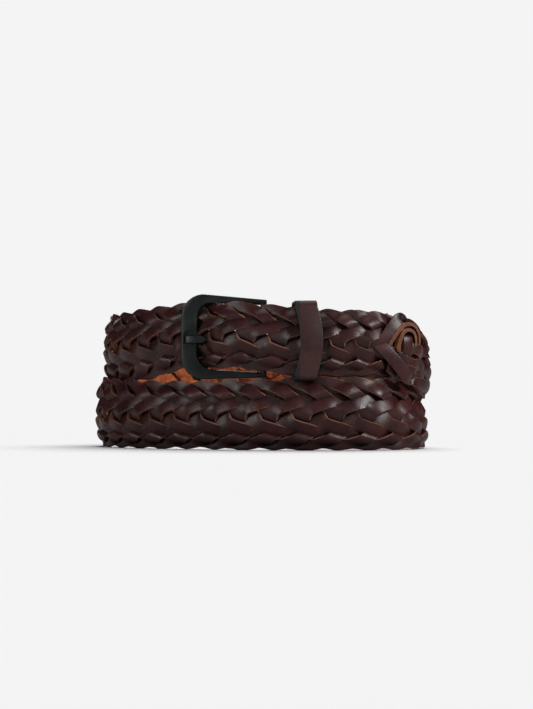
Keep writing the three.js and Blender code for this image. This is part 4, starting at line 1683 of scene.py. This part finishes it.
@dataclass
class Studio:
    """Floor, backdrop, lights and camera."""

    eye: tuple[float, float, float] = (4 * MM, -767.6 * MM, 20 * MM)
    picture_height: int = 709
    sensor: float = 36.0
    focal_pixels: float = 1390.2
    horizon: float = 411.0
    boxes: tuple[Softbox, ...] = (
        Softbox("Right key", (0.6, -0.42, 0.42), (0.03, -0.03, 0.04), (0.15, 0.2), 4.5),
        Softbox("Left fill", (-0.75, -0.4, 0.3), (-0.05, 0, 0.04), (0.3, 0.35), 0.9),
        Softbox("Left strip", (-0.6, -0.42, 0.22), (-0.04, -0.04, 0.05), (0.06, 0.4), 0.7),
        Softbox("Low front", (0.1, -0.92, 0.26), (0.02, 0, 0.05), (0.3, 0.05), 0.35),
        Softbox("Front", (-0.1, -0.95, 0.55), (0, 0, 0.04), (0.6, 0.5), 0.4),
        Softbox("Top", (0.0, 0.1, 0.85), (0, 0, 0.04), (0.6, 0.6), 1.75),
        Softbox("Back", (-0.2, 0.95, 0.5), (0, 0, 0.04), (0.6, 0.5), 3.0),
    )
    backdrop: float = 0.905
    ambient: float = 0.018
    overhead: float = 3.14
    overhead_spread: float = math.radians(70)
    overhead_turn: tuple[float, float, float] = (math.radians(-8), math.radians(14), 0)
    floor_half: float = 20.0
    floor_tone: str = "f6f6f6"
    floor_bounce: str = "a8a8a8"

    def add_camera(self) -> None:
        """Set the camera at the photograph's place and framing."""
        high = self.picture_height
        data = bpy.data.cameras.new("Camera")
        data.sensor_width = self.sensor
        data.lens = self.focal_pixels / high * self.sensor
        data.shift_y = (self.horizon - high / 2) / high
        data.clip_start = 0.01
        camera = bpy.data.objects.new("Camera", data)
        camera.location = self.eye
        camera.rotation_euler = (math.radians(90), 0, 0)
        bpy.context.scene.collection.objects.link(camera)
        bpy.context.scene.camera = camera

    def add_floor(self) -> bpy.types.Object:
        """Lay a wide pale floor, which looks paler than the light it throws back.

        Returns:
            The floor.
        """
        half = self.floor_half
        points = np.array([[(x, y, 0.0) for x in (-half, half)] for y in (-half / 2, half)])
        floor = sheet_of("floor", points)
        smooth(floor)
        material, nodes, shader = new_material("Studio floor")
        seen = nodes.add("ShaderNodeLightPath").outputs["Is Camera Ray"]
        nodes.fill(shader, {
            "Base Color": nodes.mix(seen, colour(self.floor_bounce), colour(self.floor_tone)),
            "Roughness": 1.0,
            "Specular IOR Level": 0.0})
        floor.data.materials.append(material)
        return floor

    def light(self, floor: bpy.types.Object) -> None:
        """Light the scene softly, the floor from overhead alone so that it stays even.

        Args:
            floor: The floor.
        """
        unlit = bpy.data.collections.new("Left out by the softboxes")
        unlit.objects.link(floor)
        unlit.collection_objects[0].light_linking.link_state = "EXCLUDE"
        for softbox in self.boxes:
            softbox.add(unlit)
        sky = bpy.data.lights.new("Overhead", "SUN")
        sky.energy = self.overhead
        sky.angle = self.overhead_spread
        lit = bpy.data.collections.new("Lit from overhead")
        lit.objects.link(floor)
        hang(sky, self.overhead_turn, lit)
        self._surround()
        bpy.context.scene.view_settings.view_transform = "Standard"

    def _surround(self) -> None:
        """Show a pale backdrop, and light the belt less than the backdrop would."""
        world = bpy.data.worlds.new("Studio")
        world.use_nodes = True
        nodes = Nodes(world.node_tree)
        seen = nodes.add("ShaderNodeLightPath").outputs["Is Camera Ray"]
        strength = nodes.spread(seen, 0.0, 1.0, self.ambient, self.backdrop)
        nodes.fill(world.node_tree.nodes["Background"],
                   {"Color": (1, 1, 1, 1), "Strength": strength})
        bpy.context.scene.world = world


def report(pieces: list[bpy.types.Object], node: str) -> None:
    """Let finished pieces stand for a node, and say what was made.

    Args:
        pieces: The pieces.
        node: The solid that they replace.
    """
    for piece in pieces:
        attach(piece, "root")
        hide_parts(node)
        LOG.info("%s: %d faces", piece.name, len(piece.data.polygons))


def main() -> None:
    """Build and dress the belt."""
    logging.basicConfig(level=logging.INFO, format="%(name)s: %(message)s")
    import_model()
    bpy.ops.object.select_all(action="DESELECT")
    studio = Studio()
    studio.add_camera()
    studio.light(studio.add_floor())

    finishes = Finishes()
    route = Route()
    metal, leather = BuckleMetal(route), SmoothLeather(route)
    report([metal.build_frame(finishes)], "buckle_frame")
    report([metal.build_prong(finishes)], "buckle_prong")
    report([leather.build_keeper(finishes)], "keeper_loop")
    report([leather.build_tab(finishes)], "buckle_tab")
    report(Braid(route).build(finishes), "braided_strap")
    report(Knot(route).build(finishes), "tip_knot")


if __name__ == "__main__":
    main()
